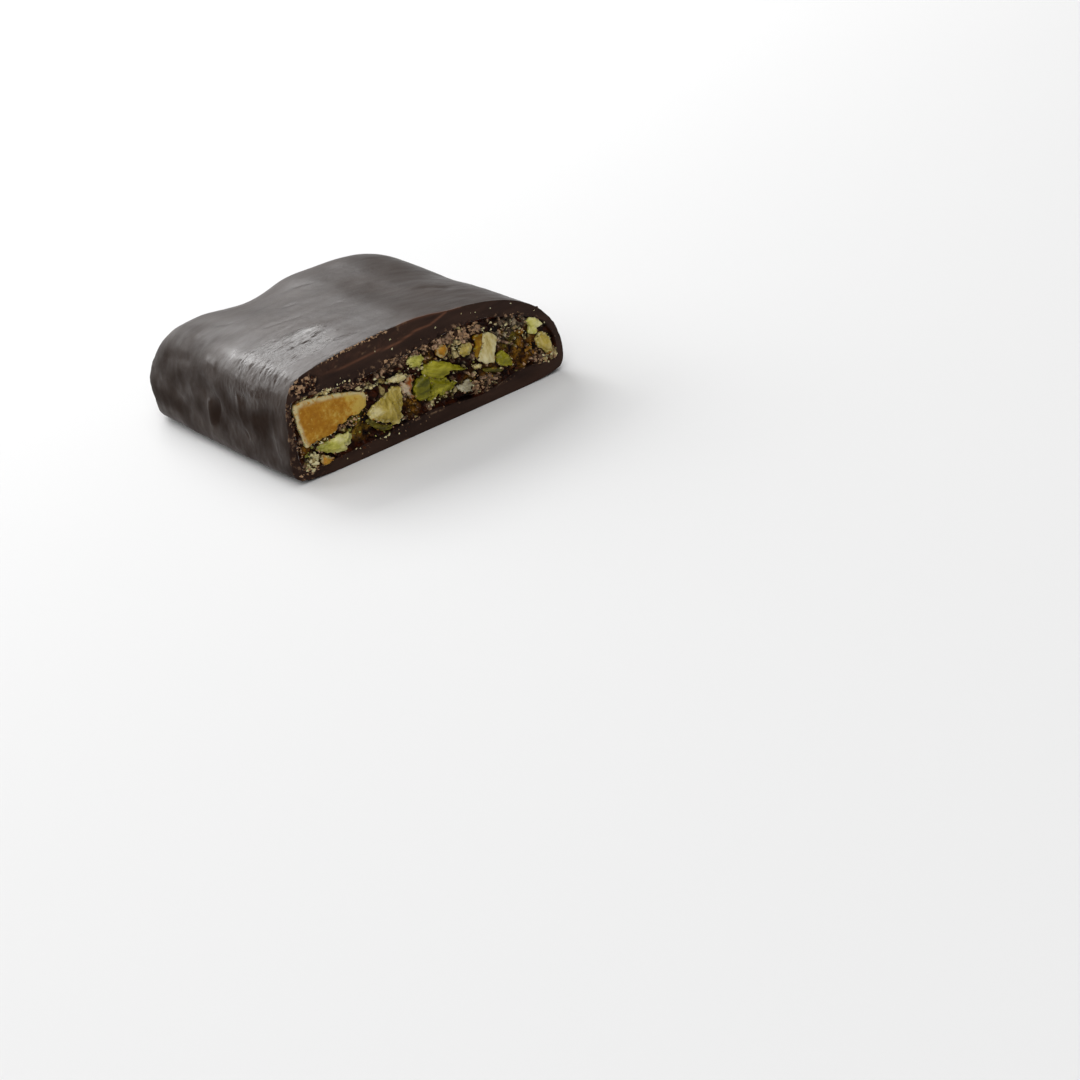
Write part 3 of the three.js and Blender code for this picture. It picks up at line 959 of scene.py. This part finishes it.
FACE_SHARE = 0.97             # how much of its outline the face of a chunk fills
RIM_BACK = 0.2                # its rim is widest this far behind its front
BACK_ROWS = 8
BACK_SHARE = 0.06             # how much of its outline the end of its back fills

nut_outlines = []


def on_a_nut(point):
    return any(
        low.x < point.x < high.x and low.y < point.y < high.y and inside(point, ring)
        for ring, low, high in nut_outlines
    )


def facet_planes(count, steepness, seed):
    """Tilts of the flat facets on a broken face, each with its own height."""
    dice = random.Random(seed)
    planes = []
    for k in range(count):
        angle = math.tau * (k + dice.uniform(0.1, 0.9)) / count
        tilt = steepness * dice.uniform(0.5, 1.2)
        planes.append((tilt * math.cos(angle), tilt * math.sin(angle), dice.uniform(0.0, 0.25)))
    return planes


def torn_ring(outline, tension, spacing, seed, jagged):
    """The outline of a chunk, made ragged."""
    ring = spaced(through(outline, tension), lambda point: 1 / spacing)
    for i, p in enumerate(ring):
        place = Vector((*p, seed))
        wide = Vector((lumpy(place, 0.7, 1), lumpy(place, 0.7, 2)))
        fine = Vector((lumpy(place, 0.3, 3), lumpy(place, 0.3, 4)))
        ring[i] = p + (wide + 0.5 * fine) * (jagged(p) if callable(jagged) else jagged)
    return ring


def chunk_rows(face_rows, depth, swell):
    """The rows of a chunk, from its face round its rim to its back.

    Each has its share of the way to the outline, and how far it lies behind the rim's front.
    """
    rows = []
    for k in range(face_rows + 1):
        share = (k + 0.3) / (face_rows + 0.3)
        rows.append((share * FACE_SHARE, -swell * (1 - share ** 4)))
    rows += [(0.995, 0.08), (1.0, RIM_BACK)]
    for k in range(1, BACK_ROWS):
        back = k / BACK_ROWS
        rows.append((math.sqrt(1 - back ** 3), RIM_BACK + depth * back))
    return rows + [(BACK_SHARE, RIM_BACK + depth)]


def chunk(outline, depth, spine=None, tension=0.45, swell=0.40, sunk=0.0, rough=0.07, grain=1.2,
          seed=0, spacing=0.17, facets=5, steep=0.30, jagged=0.06, rim_from=0.72,
          rim_sides=lambda point: 0.7, shade=lambda point: 0.0, extra=lambda place: 0.0):
    """A nut or a bit of fruit, cut through: its outline at the cut, and its depth behind it.

    swell is how far its face bulges in front, sunk how far its rim lies behind the cut, rough
    the height of its unevenness and grain the size of that, steep the tilt of its facets and
    jagged how torn its outline is, as a number or for each point.  rim_sides(point) says how
    crusted its edge is, from the share rim_from of its face outwards, shade(point) where it is
    paler or darker, and extra(place) gives it relief of its own.
    """
    ring = torn_ring(outline, tension, spacing, seed, jagged)
    low = Vector((min(p.x for p in ring), min(p.y for p in ring)))
    high = Vector((max(p.x for p in ring), max(p.y for p in ring)))
    nut_outlines.append((ring, low, high))
    middle = sum((Vector(corner) for corner in outline), Vector((0, 0))) / len(outline)
    if spine is None:
        # So short that the rows close on a point.
        spine = (middle, middle + Vector((0.01, 0)))
    feet = [nearest_on(spine, point) for point in ring]
    radius = sum((p - foot).length for p, foot in zip(ring, feet)) / len(ring)
    face_rows = max(6, round(radius / spacing))
    planes = facet_planes(facets, steep, seed)
    rings = [
        [on_cut(foot.lerp(p, share), sunk + behind) for foot, p in zip(feet, ring)]
        for share, behind in chunk_rows(face_rows, depth, swell)
    ]
    bm = loft(rings)
    row = bm.verts.layers.int["row"]
    rim, tone = marks(bm, "rim", "shade")

    def height(place, vert):
        near_rim = smooth_step(vert[row], face_rows * rim_from, face_rows)
        broken = 0.0
        if vert[row] <= face_rows + 2:
            vert[rim] = near_rim * rim_sides(place.xz)
            vert[tone] = shade(place.xz)
            gap = place.xz - middle
            broken = min(across * gap.x + up * gap.y + lift for across, up, lift in planes)
            broken *= 1 - smooth_step(vert[row], face_rows * 0.8, face_rows + 2)
        relief = uneven(
            place,
            (rough, grain, seed),
            (rough * 0.6, grain / 2.3, seed + 1),
            (0.04 * near_rim, 0.5, seed + 2),
        )
        return broken + relief + extra(place)

    carve(bm, height)
    return bm


def gathered(*parts):
    """Several chunks as one piece."""
    whole = parts[0]
    for part in parts[1:]:
        mesh = bpy.data.meshes.new("part")
        part.to_mesh(mesh)
        part.free()
        whole.from_mesh(mesh)
        bpy.data.meshes.remove(mesh)
    return whole


def set_in(name, node, finish, slot, outline, depth, **form):
    """Makes one chunk a piece, which stands for that node of the CAD if there is one."""
    hand_over(chunk(outline, depth, **form), name, finish, [node] if node else ())


def slab_crust(point):
    """The orange slab is crusted along its top and its left side, thickly in places."""
    left = 1 - smooth_step(point.x, -22.0, -21.2)
    top = smooth_step(point.y + 0.24 * (point.x + 20), 10.9, 11.9)
    return max(left, top) * (1.2 + 0.9 * lumpy(Vector((point.x, point.y, 3)), 1.0, 40))


def slab_raggedness(point):
    """Torn along its lower edge."""
    return 0.18 + 0.16 * (1 - smooth_step(point.y, 7.4, 8.6)) * smooth_step(point.x, -21.0, -19.5)


def slab_shade(point):
    """Golden towards its right end, deeper in the middle of its left half."""
    golden = smooth_step(point.x, -15.5, -11.5)
    return 0.34 * golden - 0.05 - 0.06 * (1 - smooth_step(point.x, -20.5, -16.5))


def strip_shade(point):
    """The amber strip is pale on the left and orange-red beside the pistachio."""
    return 0.20 - 0.42 * smooth_step(point.x + 0.15 * point.y, -2.8, -1.4)


def make_fruit():
    orange = fruit("orange_fruit", (0.34, 0.140, 0.006), (0.43, 0.205, 0.018), (0.53, 0.36, 0.070),
                   (0.54, 0.46, 0.24))
    amber = fruit("amber_fruit", (0.28, 0.070, 0.008), (0.36, 0.17, 0.070), (0.52, 0.42, 0.30),
                  (0.46, 0.33, 0.20))
    set_in("orange_slab", "orange_fruit_large", orange, "orange_fruit",
           [(-22.3, 12.2), (-20.6, 12.5), (-18.2, 12.2), (-15.6, 11.7), (-13.0, 11.0),
            (-10.9, 10.1), (-10.3, 9.1), (-10.8, 8.0), (-12.0, 7.3), (-13.6, 7.4), (-14.9, 6.8),
            (-16.2, 6.7), (-17.6, 5.9), (-19.6, 5.8), (-21.0, 5.7), (-22.1, 5.5), (-22.4, 7.8),
            (-22.5, 10.2)],
           depth=6.5, spine=((-20.0, 9.0), (-13.0, 9.0)), tension=0.4, swell=0.12, rough=0.11,
           grain=1.3, seed=21, rim_sides=slab_crust, shade=slab_shade, steep=0.03,
           jagged=slab_raggedness, rim_from=0.68)
    set_in("orange_cube", "orange_fruit_bit", orange, "orange_fruit",
           [(3.1, 11.9), (4.3, 12.2), (5.2, 11.2), (4.8, 10.3), (3.7, 10.1), (2.9, 10.9)],
           depth=1.8, swell=0.35, rough=0.13, grain=0.8, seed=24, steep=0.45, jagged=0.16)
    set_in("orange_shred", None, orange, "orange_fruit",
           [(-19.9, 3.2), (-18.3, 2.2), (-18.7, 1.7), (-19.8, 1.6), (-20.2, 2.3)],
           depth=1.2, swell=0.3, rough=0.14, grain=0.7, seed=27, steep=0.45, jagged=0.2)
    set_in("amber_strip", "amber_fruit_bit", amber, "amber_fruit",
           [(-4.2, 9.3), (-3.5, 8.8), (-2.7, 9.6), (-2.1, 8.9), (-2.5, 7.6), (-2.8, 6.2),
            (-3.4, 6.0), (-3.6, 7.0), (-4.3, 7.5)],
           depth=2.0, spine=((-3.2, 8.8), (-3.2, 6.8)), swell=0.15, rough=0.30, grain=0.7, seed=30,
           shade=strip_shade, steep=0.4, jagged=0.35)
    jelly = fruit("amber_jelly", (0.16, 0.070, 0.002), (0.31, 0.165, 0.004), (0.46, 0.29, 0.020),
                  (0.30, 0.16, 0.01))
    set_in("amber_edge", None, jelly, "amber_fruit",
           [(10.0, 11.1), (11.3, 11.2), (11.6, 10.6), (10.8, 9.0), (9.9, 7.6), (9.3, 8.4),
            (9.9, 9.7)],
           depth=2.0, swell=0.2, sunk=0.1, rough=0.10, seed=33, spine=((10.7, 10.6), (9.9, 8.6)),
           jagged=0.2)


def kernel_folds(place):
    """Two steep folds in the right half of the pale nut."""
    slope = place.x + 0.25 * place.z
    return -0.34 * (bell((slope + 4.75) / 0.24) + 0.8 * bell((slope + 3.85) / 0.20))


def kernel_glare(point):
    """A painted highlight makes the pale nut whitish at its left; it is deep yellow on its right."""
    glare = bell((point.x + 9.3) / 1.0, (point.y - 6.2) / 0.9)
    return 0.02 + 0.36 * glare - 0.14 * smooth_step(point.x, -6.2, -5.0)


def wing_shade(point):
    """The wing of the large pistachio is yellow-green, its tip darker."""
    return 0.12 - 0.16 * smooth_step(point.x, 3.6, 6.8)


def frayed_shade(point):
    """Its frayed part is pale at its foot, and painted darker as shade in the hollow under the wing."""
    foot = bell((point.x - 1.6) / 1.3, (point.y - 5.2) / 0.9)
    hollow = bell((point.x - 3.4) / 1.3, (point.y - 6.9) / 0.9)
    return 0.04 + 0.20 * foot - 0.26 * hollow


def frayed_rays(place):
    """Fibres that fan out from the upper left of the frayed part."""
    angle = math.atan2(place.z - 9.0, place.x + 2.5)
    return 0.12 * math.sin(angle * 34 + 3 * lumpy(place, 1.5, 42))


def wing_grooves(place):
    """Grooves along the wing."""
    return 0.07 * math.sin((place.z + 0.45 * place.x) * 7 + 2 * lumpy(place, 1.5, 43))


def left_fibres(place):
    """The small left pistachio is fibrous along its length."""
    return 0.16 * lumpy(Vector((place.x * 0.35, 0.0, place.z + 0.15 * place.x)), 0.5, 48)


def make_kernels():
    green = kernel("pistachio_green", (0.060, 0.060, 0.001), (0.190, 0.172, 0.003),
                   (0.420, 0.380, 0.036), 1.1, (3.2, 1, 0.8), -20)
    lime = kernel("pistachio_lime", (0.270, 0.260, 0.025), (0.530, 0.500, 0.110),
                  (0.720, 0.670, 0.320), 1.2, (1.8, 1, 1), 10)
    yellow = kernel("nut_yellow", (0.200, 0.140, 0.008), (0.460, 0.350, 0.070),
                    (0.640, 0.560, 0.270), 1.6, (0.7, 1, 2.4), 10, soft=0.35)
    cream = kernel("nut_cream", (0.330, 0.250, 0.070), (0.520, 0.420, 0.160),
                   (0.660, 0.590, 0.340), 0.8, (0.8, 1, 2.2), 20)
    wing = chunk(
        [(-0.2, 9.0), (0.6, 10.1), (2.6, 9.9), (4.5, 8.9), (6.3, 7.8), (7.3, 6.9), (5.7, 7.1),
         (4.5, 7.7), (3.6, 7.3), (2.6, 7.0), (1.2, 7.7), (0.1, 8.5)],
        depth=3.4, spine=((0.8, 9.0), (2.8, 8.6), (5.8, 7.6)), swell=0.55, rough=0.08,
        seed=41, extra=wing_grooves, shade=wing_shade, facets=4, steep=0.14, jagged=0.14)
    lobe = chunk(
        [(-1.9, 7.9), (-0.6, 8.6), (0.6, 8.2), (0.7, 6.6), (-0.1, 5.1), (-1.3, 4.8),
         (-2.2, 5.7), (-2.4, 7.1)],
        depth=3.8, spine=((-0.8, 7.4), (-1.0, 6.2)), swell=0.50, rough=0.08, seed=42,
        shade=lambda point: -0.10, facets=3, steep=0.12, jagged=0.10)
    frayed = chunk(
        [(0.2, 8.1), (1.4, 7.9), (2.9, 7.2), (4.0, 6.2), (5.5, 5.5), (4.5, 5.1), (3.9, 4.6), (3.1, 4.7),
         (2.2, 4.1), (1.7, 4.6), (0.6, 4.4), (-0.3, 4.9), (0.2, 6.4)],
        depth=3.8, spine=((0.8, 7.0), (2.2, 5.9), (3.8, 5.5)), swell=0.30, rough=0.16, grain=0.8,
        seed=43, extra=frayed_rays, shade=frayed_shade, facets=7, steep=0.25, jagged=0.38)
    big = gathered(wing, lobe, frayed)
    hand_over(big, "pistachio_big", green, ["pistachio_large"])
    set_in("pistachio_corner", "pistachio_low", green, "pistachio_green",
           [(13.3, 6.9), (14.4, 7.2), (15.2, 6.3), (15.7, 4.6), (14.8, 4.4), (13.4, 5.2),
            (13.0, 6.2)],
           depth=2.2, swell=0.4, rough=0.12, grain=0.9, seed=44, steep=0.4, jagged=0.14)
    set_in("pistachio_bright", "pistachio_left", lime, "pistachio_lime",
           [(-20.6, 4.6), (-19.2, 5.0), (-17.6, 5.1), (-16.0, 5.2), (-14.9, 5.0), (-14.3, 4.3),
            (-14.7, 3.3), (-15.4, 3.1), (-16.0, 2.5), (-17.5, 2.7), (-18.9, 3.4), (-20.0, 4.0)],
           depth=3.0, spine=((-18.6, 4.2), (-16.0, 4.0)), swell=0.5, rough=0.12, grain=0.9, seed=47,
           shade=lambda point: -0.16 + 0.28 * smooth_step(point.x, -19.2, -16.8),
           jagged=lambda point: 0.15 + 0.35 * smooth_step(point.x, -16.4, -15.2), extra=left_fibres,
           rim_sides=lambda point: 0.3)
    set_in("pistachio_pale", "pistachio_top", lime, "pistachio_lime",
           [(-2.1, 12.0), (-0.9, 12.5), (0.4, 11.8), (0.5, 10.9), (-0.8, 10.1), (-2.0, 11.1)],
           depth=2.0, swell=0.45, rough=0.18, grain=0.7, seed=50, steep=0.45, jagged=0.34)
    set_in("nut_broken_end", "nut_cream_end", lime, "pistachio_lime",
           [(19.5, 10.3), (20.7, 10.5), (21.8, 9.7), (22.5, 8.7), (21.9, 8.5), (21.3, 9.0),
            (21.2, 7.6), (20.5, 7.5), (19.8, 8.1), (19.9, 9.3)],
           depth=2.2, spine=((20.0, 9.9), (20.9, 9.5), (20.6, 8.2)), tension=0.35, swell=0.35,
           rough=0.12, grain=0.8, seed=53, jagged=0.16,
           shade=lambda point: -0.02 + 0.16 * smooth_step(point.y + 0.5 * point.x, 19.0, 19.8))
    set_in("nut_ridged", "nut_pale", yellow, "nut_yellow",
           [(-10.9, 6.4), (-10.1, 6.9), (-9.1, 7.5), (-7.8, 8.3), (-6.1, 8.9), (-4.6, 8.7),
            (-4.5, 7.0), (-4.9, 4.6), (-5.5, 3.2), (-6.7, 3.1), (-7.6, 3.7), (-8.7, 4.2),
            (-10.2, 5.3)],
           depth=4.0, tension=0.4, swell=0.45, rough=0.13, grain=1.0, seed=56, extra=kernel_folds,
           shade=kernel_glare, steep=0.22, jagged=0.26)
    set_in("nut_long_end", "nut_yellow_end", yellow, "nut_yellow",
           [(20.5, 6.6), (21.8, 7.5), (22.8, 6.8), (23.2, 5.2), (23.5, 3.7), (22.0, 4.0),
            (21.1, 5.2)],
           depth=2.8, spine=((21.7, 6.4), (22.6, 4.8)), swell=0.35, rough=0.16, grain=0.9, seed=59,
           shade=lambda point: 0.02 - 0.16 * (1 - smooth_step(point.x, 21.2, 22.2)), jagged=0.28,
           steep=0.4)
    set_in("nut_round_bit", "nut_yellow_bit", yellow, "nut_yellow",
           [(7.1, 10.6), (8.2, 10.9), (9.3, 10.2), (8.9, 9.2), (7.6, 8.9), (6.7, 9.7)],
           depth=2.0, swell=0.45, rough=0.18, grain=0.7, seed=62, steep=0.45, jagged=0.3)
    set_in("nut_block", "nut_cream_block", cream, "nut_cream",
           [(11.4, 10.9), (12.8, 10.8), (13.9, 9.8), (13.6, 8.9), (12.9, 7.4), (12.4, 6.0),
            (10.9, 6.4), (9.8, 7.4), (10.6, 9.0)],
           depth=3.4, spine=((12.4, 9.9), (11.4, 7.3)), tension=0.3, swell=0.2, rough=0.12,
           grain=0.7, seed=65, steep=0.12, jagged=0.14,
           shade=lambda point: 0.04 + 0.14 * (1 - smooth_step(point.y, 6.6, 8.2)))
    set_in("nut_flake", "nut_cream_flake", cream, "nut_cream",
           [(-6.9, 10.1), (-6.1, 10.4), (-4.9, 10.3), (-4.0, 10.6), (-3.3, 10.1), (-3.1, 9.2),
            (-4.6, 9.4), (-5.8, 9.6)],
           depth=1.8, spine=((-6.3, 10.0), (-3.8, 9.9)), swell=0.3, rough=0.20, grain=0.6, seed=68,
           jagged=0.30, shade=lambda point: 0.12)
    chalk = kernel("nut_white", (0.160, 0.120, 0.070), (0.340, 0.300, 0.190),
                   (0.600, 0.560, 0.400), 0.9, (2.4, 1, 0.7), -35)
    set_in("nut_crumbly_white", "nut_white", chalk, "nut_cream",
           [(5.2, 4.3), (6.0, 4.9), (7.4, 5.0), (7.9, 4.0), (7.3, 3.2), (6.0, 3.4)],
           depth=2.2, swell=0.30, rough=0.22, grain=0.6, seed=71, jagged=0.42,
           shade=lambda point: 0.12 - 0.10 * (point.x - 5.5))
    set_in("nut_sliver", None, cream, "nut_cream",
           [(8.6, 6.7), (9.4, 6.8), (10.2, 6.4), (9.6, 6.1), (8.8, 6.2)],
           depth=0.9, swell=0.25, rough=0.05, seed=74, spacing=0.14)
    olive = kernel("pistachio_skin", (0.030, 0.024, 0.002), (0.090, 0.072, 0.004),
                   (0.200, 0.170, 0.020), 1.0, (2, 1, 1), 30)
    set_in("pistachio_crescent", None, olive, "pistachio_green",
           [(-11.4, 5.4), (-10.6, 4.2), (-9.4, 3.1), (-7.7, 2.5), (-7.3, 3.1), (-9.0, 3.9),
            (-10.5, 5.4)],
           depth=1.4, spine=((-11.0, 5.0), (-10.0, 4.0), (-8.0, 2.95)), swell=0.25, sunk=0.15,
           rough=0.08, seed=77)
    set_in("pistachio_strip", None, olive, "pistachio_green",
           [(10.4, 5.6), (12.2, 5.1), (13.9, 4.3), (13.4, 3.9), (12.0, 4.4), (10.6, 5.0)],
           depth=1.0, spine=((10.9, 5.2), (13.3, 4.3)), swell=0.15, sunk=0.25, rough=0.08, seed=80)


# ---- crumbs ----------------------------------------------------------------------------------

# Loose crumbs at the cut: x, z, half reach across and up, number, smallest and largest size.
CREAM_CRUMBS = (
    (-21.7, 2.9, 1.0, 1.3, 20, 0.34, 0.72), (-17, 12.6, 5.0, 0.35, 34, 0.14, 0.34),
    (-19.6, 5.4, 1.5, 0.4, 14, 0.14, 0.32), (-0.6, 10.2, 0.9, 0.4, 10, 0.14, 0.36),
    (3.4, 4.2, 0.9, 0.4, 8, 0.16, 0.36), (-5.6, 3.2, 0.7, 0.4, 6, 0.16, 0.34),
    (-9.0, 10.7, 2.4, 0.6, 22, 0.18, 0.46), (-13.5, 2.6, 5.0, 0.9, 10, 0.12, 0.26),
    (-1.5, 10.4, 1.6, 0.9, 8, 0.14, 0.36), (2.5, 4.2, 3.0, 0.8, 14, 0.14, 0.36),
    (6.3, 11.1, 0.7, 0.5, 10, 0.16, 0.40), (12.6, 11.6, 1.7, 0.5, 10, 0.14, 0.34),
    (17.2, 9.8, 2.4, 1.7, 22, 0.12, 0.36), (22.6, 3.2, 1.4, 0.8, 18, 0.16, 0.40),
    (9.5, 3.3, 2.8, 1.0, 14, 0.14, 0.36), (6.0, 8.6, 6.0, 2.6, 18, 0.10, 0.24),
    (-14.0, 6.3, 2.4, 0.7, 8, 0.12, 0.32),
)
BROWN_CRUMBS = (
    (-16.4, 6.1, 3.4, 0.5, 40, 0.12, 0.34), (-12.2, 7.0, 1.6, 0.5, 20, 0.12, 0.32),
    (-20.4, 14.8, 1.2, 0.8, 12, 0.26, 0.50),
    (-19.8, 14.6, 2.0, 1.1, 24, 0.16, 0.40), (-23.2, 8.0, 0.5, 5.0, 60, 0.10, 0.22),
    (8.9, 3.1, 1.3, 1.2, 30, 0.22, 0.60), (21.4, 3.2, 2.2, 0.6, 34, 0.18, 0.46),
    (-22.6, 2.0, 1.6, 0.8, 26, 0.14, 0.36), (-10.5, 11.9, 5.0, 0.5, 40, 0.14, 0.40),
    (0.0, 12.7, 6.0, 0.6, 60, 0.14, 0.40), (8.2, 12.4, 2.6, 0.8, 50, 0.22, 0.62),
    (16.0, 10.6, 3.4, 1.7, 40, 0.14, 0.42), (19.5, 4.3, 2.2, 1.2, 24, 0.14, 0.40),
    (10.5, 3.0, 2.4, 1.1, 30, 0.16, 0.50), (-4.0, 3.4, 6.0, 0.8, 24, 0.12, 0.32),
    (-9.0, 1.4, 9.0, 0.7, 16, 0.08, 0.20), (10.0, 8.2, 9.0, 3.4, 30, 0.10, 0.28),
)
DARK_CRUMBS = (
    (-19.9, 14.6, 1.8, 1.0, 34, 0.16, 0.42),
    (-12.0, 2.4, 8.0, 0.8, 40, 0.14, 0.42), (0.0, 3.8, 7.0, 0.7, 34, 0.14, 0.40),
    (10.0, 7.0, 8.0, 4.0, 40, 0.14, 0.40), (-3.0, 11.5, 8.0, 1.0, 30, 0.14, 0.38),
    (16.0, 3.4, 5.0, 0.8, 30, 0.16, 0.46), (-23.2, 8.0, 0.5, 5.0, 26, 0.10, 0.26),
)
AMBER_CRUMBS = (
    (17.5, 5.6, 2.2, 1.4, 14, 0.18, 0.46), (-12.6, 5.6, 2.0, 1.2, 12, 0.18, 0.46),
    (-19.9, 5.4, 1.5, 0.4, 12, 0.20, 0.42), (20.4, 5.6, 0.7, 1.2, 8, 0.20, 0.44),
    (2.0, 11.0, 2.6, 0.8, 8, 0.16, 0.38), (10.0, 5.0, 3.4, 1.0, 10, 0.16, 0.40),
    (-3.4, 5.0, 1.0, 1.2, 8, 0.16, 0.40),
)
GREEN_CRUMBS = (
    (-20.6, 4.6, 1.6, 0.8, 9, 0.18, 0.46), (-13.0, 5.4, 1.6, 1.2, 7, 0.18, 0.44),
    (2.5, 5.0, 2.6, 0.7, 12, 0.16, 0.40), (16.4, 7.6, 1.4, 1.4, 7, 0.16, 0.36),
    (7.0, 7.4, 3.4, 1.2, 6, 0.14, 0.30), (-8.8, 2.6, 2.0, 0.6, 6, 0.14, 0.34),
    (20.4, 6.4, 1.6, 1.6, 7, 0.16, 0.40),
)
# Loose specks on the smooth cut chocolate: x, z and size.
LOOSE_SPECKS = (
    (-4.3, 14.7, 0.24), (-4.3, 16.2, 0.20), (3.7, 15.1, 0.22), (-7.2, 15.4, 0.12), (8.6, 15.6, 0.16),
    (11.0, 14.9, 0.14), (10.2, 15.1, 0.12), (17.5, 14.0, 0.14), (21.4, 11.4, 0.12), (22.8, 8.8, 0.12),
    (-8.3, 2.0, 0.30), (-9.0, 1.9, 0.26), (-13.5, 1.9, 0.18), (-6.6, 1.5, 0.16), (-16.0, 1.2, 0.12),
    (13.8, 14.6, 0.10), (-13.8, 13.6, 0.10), (0.8, 14.3, 0.12),
)
# Kinds: slot, darkest and palest tone, patches, and how many lie at the rims of the nuts.
CRUMB_KINDS = {
    "dark": ("dark_chocolate", (0.008, 0.002, 0.001), (0.055, 0.016, 0.006), DARK_CRUMBS, 90),
    "brown": ("nut_filling", (0.050, 0.022, 0.012), (0.460, 0.290, 0.165), BROWN_CRUMBS, 110),
    "amber": ("amber_fruit", (0.080, 0.024, 0.003), (0.360, 0.180, 0.025), AMBER_CRUMBS, 40),
    "green": ("pistachio_lime", (0.100, 0.100, 0.006), (0.420, 0.410, 0.110), GREEN_CRUMBS, 30),
    "cream": ("nut_cream", (0.34, 0.27, 0.11), (0.74, 0.67, 0.40), CREAM_CRUMBS, 60),
}
RIM_CRUMBS = 150              # brown ones along the crumbly rim
GROUND = (-0.45, 0.25)        # crumbs lie at most this far behind and in front of the cut
CRUMB_SEED = 11
CRUMB_CORNERS = 11


def add_crumb(bm, dice, middle, size, tone):
    """One angular chip: the hull of a few corners."""
    axis = Vector((dice.gauss(0, 1), dice.gauss(0, 1), dice.gauss(0, 1))).normalized()
    turn = Matrix.Rotation(dice.uniform(0, math.tau), 3, axis)
    squash = Matrix.Diagonal((dice.uniform(0.9, 1.5), dice.uniform(0.7, 1.0), dice.uniform(0.4, 0.8)))
    tint = bm.verts.layers.float["tint"]
    corners = []
    for _ in range(CRUMB_CORNERS):
        way = Vector((dice.gauss(0, 1), dice.gauss(0, 1), dice.gauss(0, 1))).normalized()
        corners.append(bm.verts.new(middle + turn @ (squash @ way) * size * dice.uniform(0.9, 1.05)))
        corners[-1][tint] = tone
    hull = bmesh.ops.convex_hull(bm, input=corners)
    spare = [item for item in hull["geom_interior"] if isinstance(item, bmesh.types.BMVert)]
    bmesh.ops.delete(bm, geom=spare, context="VERTS")


def strew_patch(bm, dice, patch):
    """Crumbs strewn over the filling and the cut chocolate, most of them more than half sunk."""
    x, z, across, tall, count, small, large = patch
    filling = through(FILLING_CORNERS, FILLING_TENSION)
    for _ in range(count):
        point = Vector((x + across * dice.uniform(-1, 1), z + tall * dice.uniform(-1, 1)))
        size = small + (large - small) * dice.random() ** 2
        if on_a_nut(point):
            continue
        proud = paste(point)[0] if inside(point, filling) else -EDGE_SUNK
        ahead = limited(proud, *GROUND) - size * dice.uniform(-0.2, 0.5)
        add_crumb(bm, dice, on_cut(point, -ahead), size, dice.random())


def strew_rim(bm, dice):
    """Crumbs along the crumbly rim of the cut."""
    outline = spaced(drawn(SKIN_BENDS), skin_closeness)
    rim = [p for p in outline if p.y > RIM_FOOT and between(p.x, CRUMBLY_RIM) > 0.5]
    for _ in range(RIM_CRUMBS):
        point = dice.choice(rim)
        size = 0.06 + 0.18 * dice.random() ** 2
        place = on_cut(point, -dice.uniform(-0.4, 0.05))
        place.z += dice.uniform(-0.3, 0.05)
        add_crumb(bm, dice, place, size, dice.uniform(0.2, 1.2))


def strew_crumbs():
    dice = random.Random(CRUMB_SEED)
    for kind, (slot, dark, light, patches, at_nuts) in CRUMB_KINDS.items():
        bm = bmesh.new()
        bm.verts.layers.float.new("tint")
        for patch in patches:
            strew_patch(bm, dice, patch)
        if kind == "brown":
            strew_rim(bm, dice)
        for _ in range(at_nuts):
            point = dice.choice(dice.choice(nut_outlines)[0])
            size = 0.08 + 0.16 * dice.random() ** 2
            add_crumb(bm, dice, on_cut(point, dice.uniform(-0.12, 0.1)), size, dice.random())
        if kind == "cream":
            for x, z, size in LOOSE_SPECKS:
                add_crumb(bm, dice, Vector((x, CUT - size * 0.2, z)), size, dice.uniform(0.5, 1))
        bmesh.ops.recalc_face_normals(bm, faces=bm.faces)
        hand_over(bm, "crumbs_" + kind, meal("meal_" + kind, dark, light), smooth=False)


# ---- the whole scene -------------------------------------------------------------------------

stand_camera()
light_the_table()
lay_floor()
make_coating(dark_chocolate())
make_fruit()
make_kernels()
make_filling(sticky_filling())
strew_crumbs()
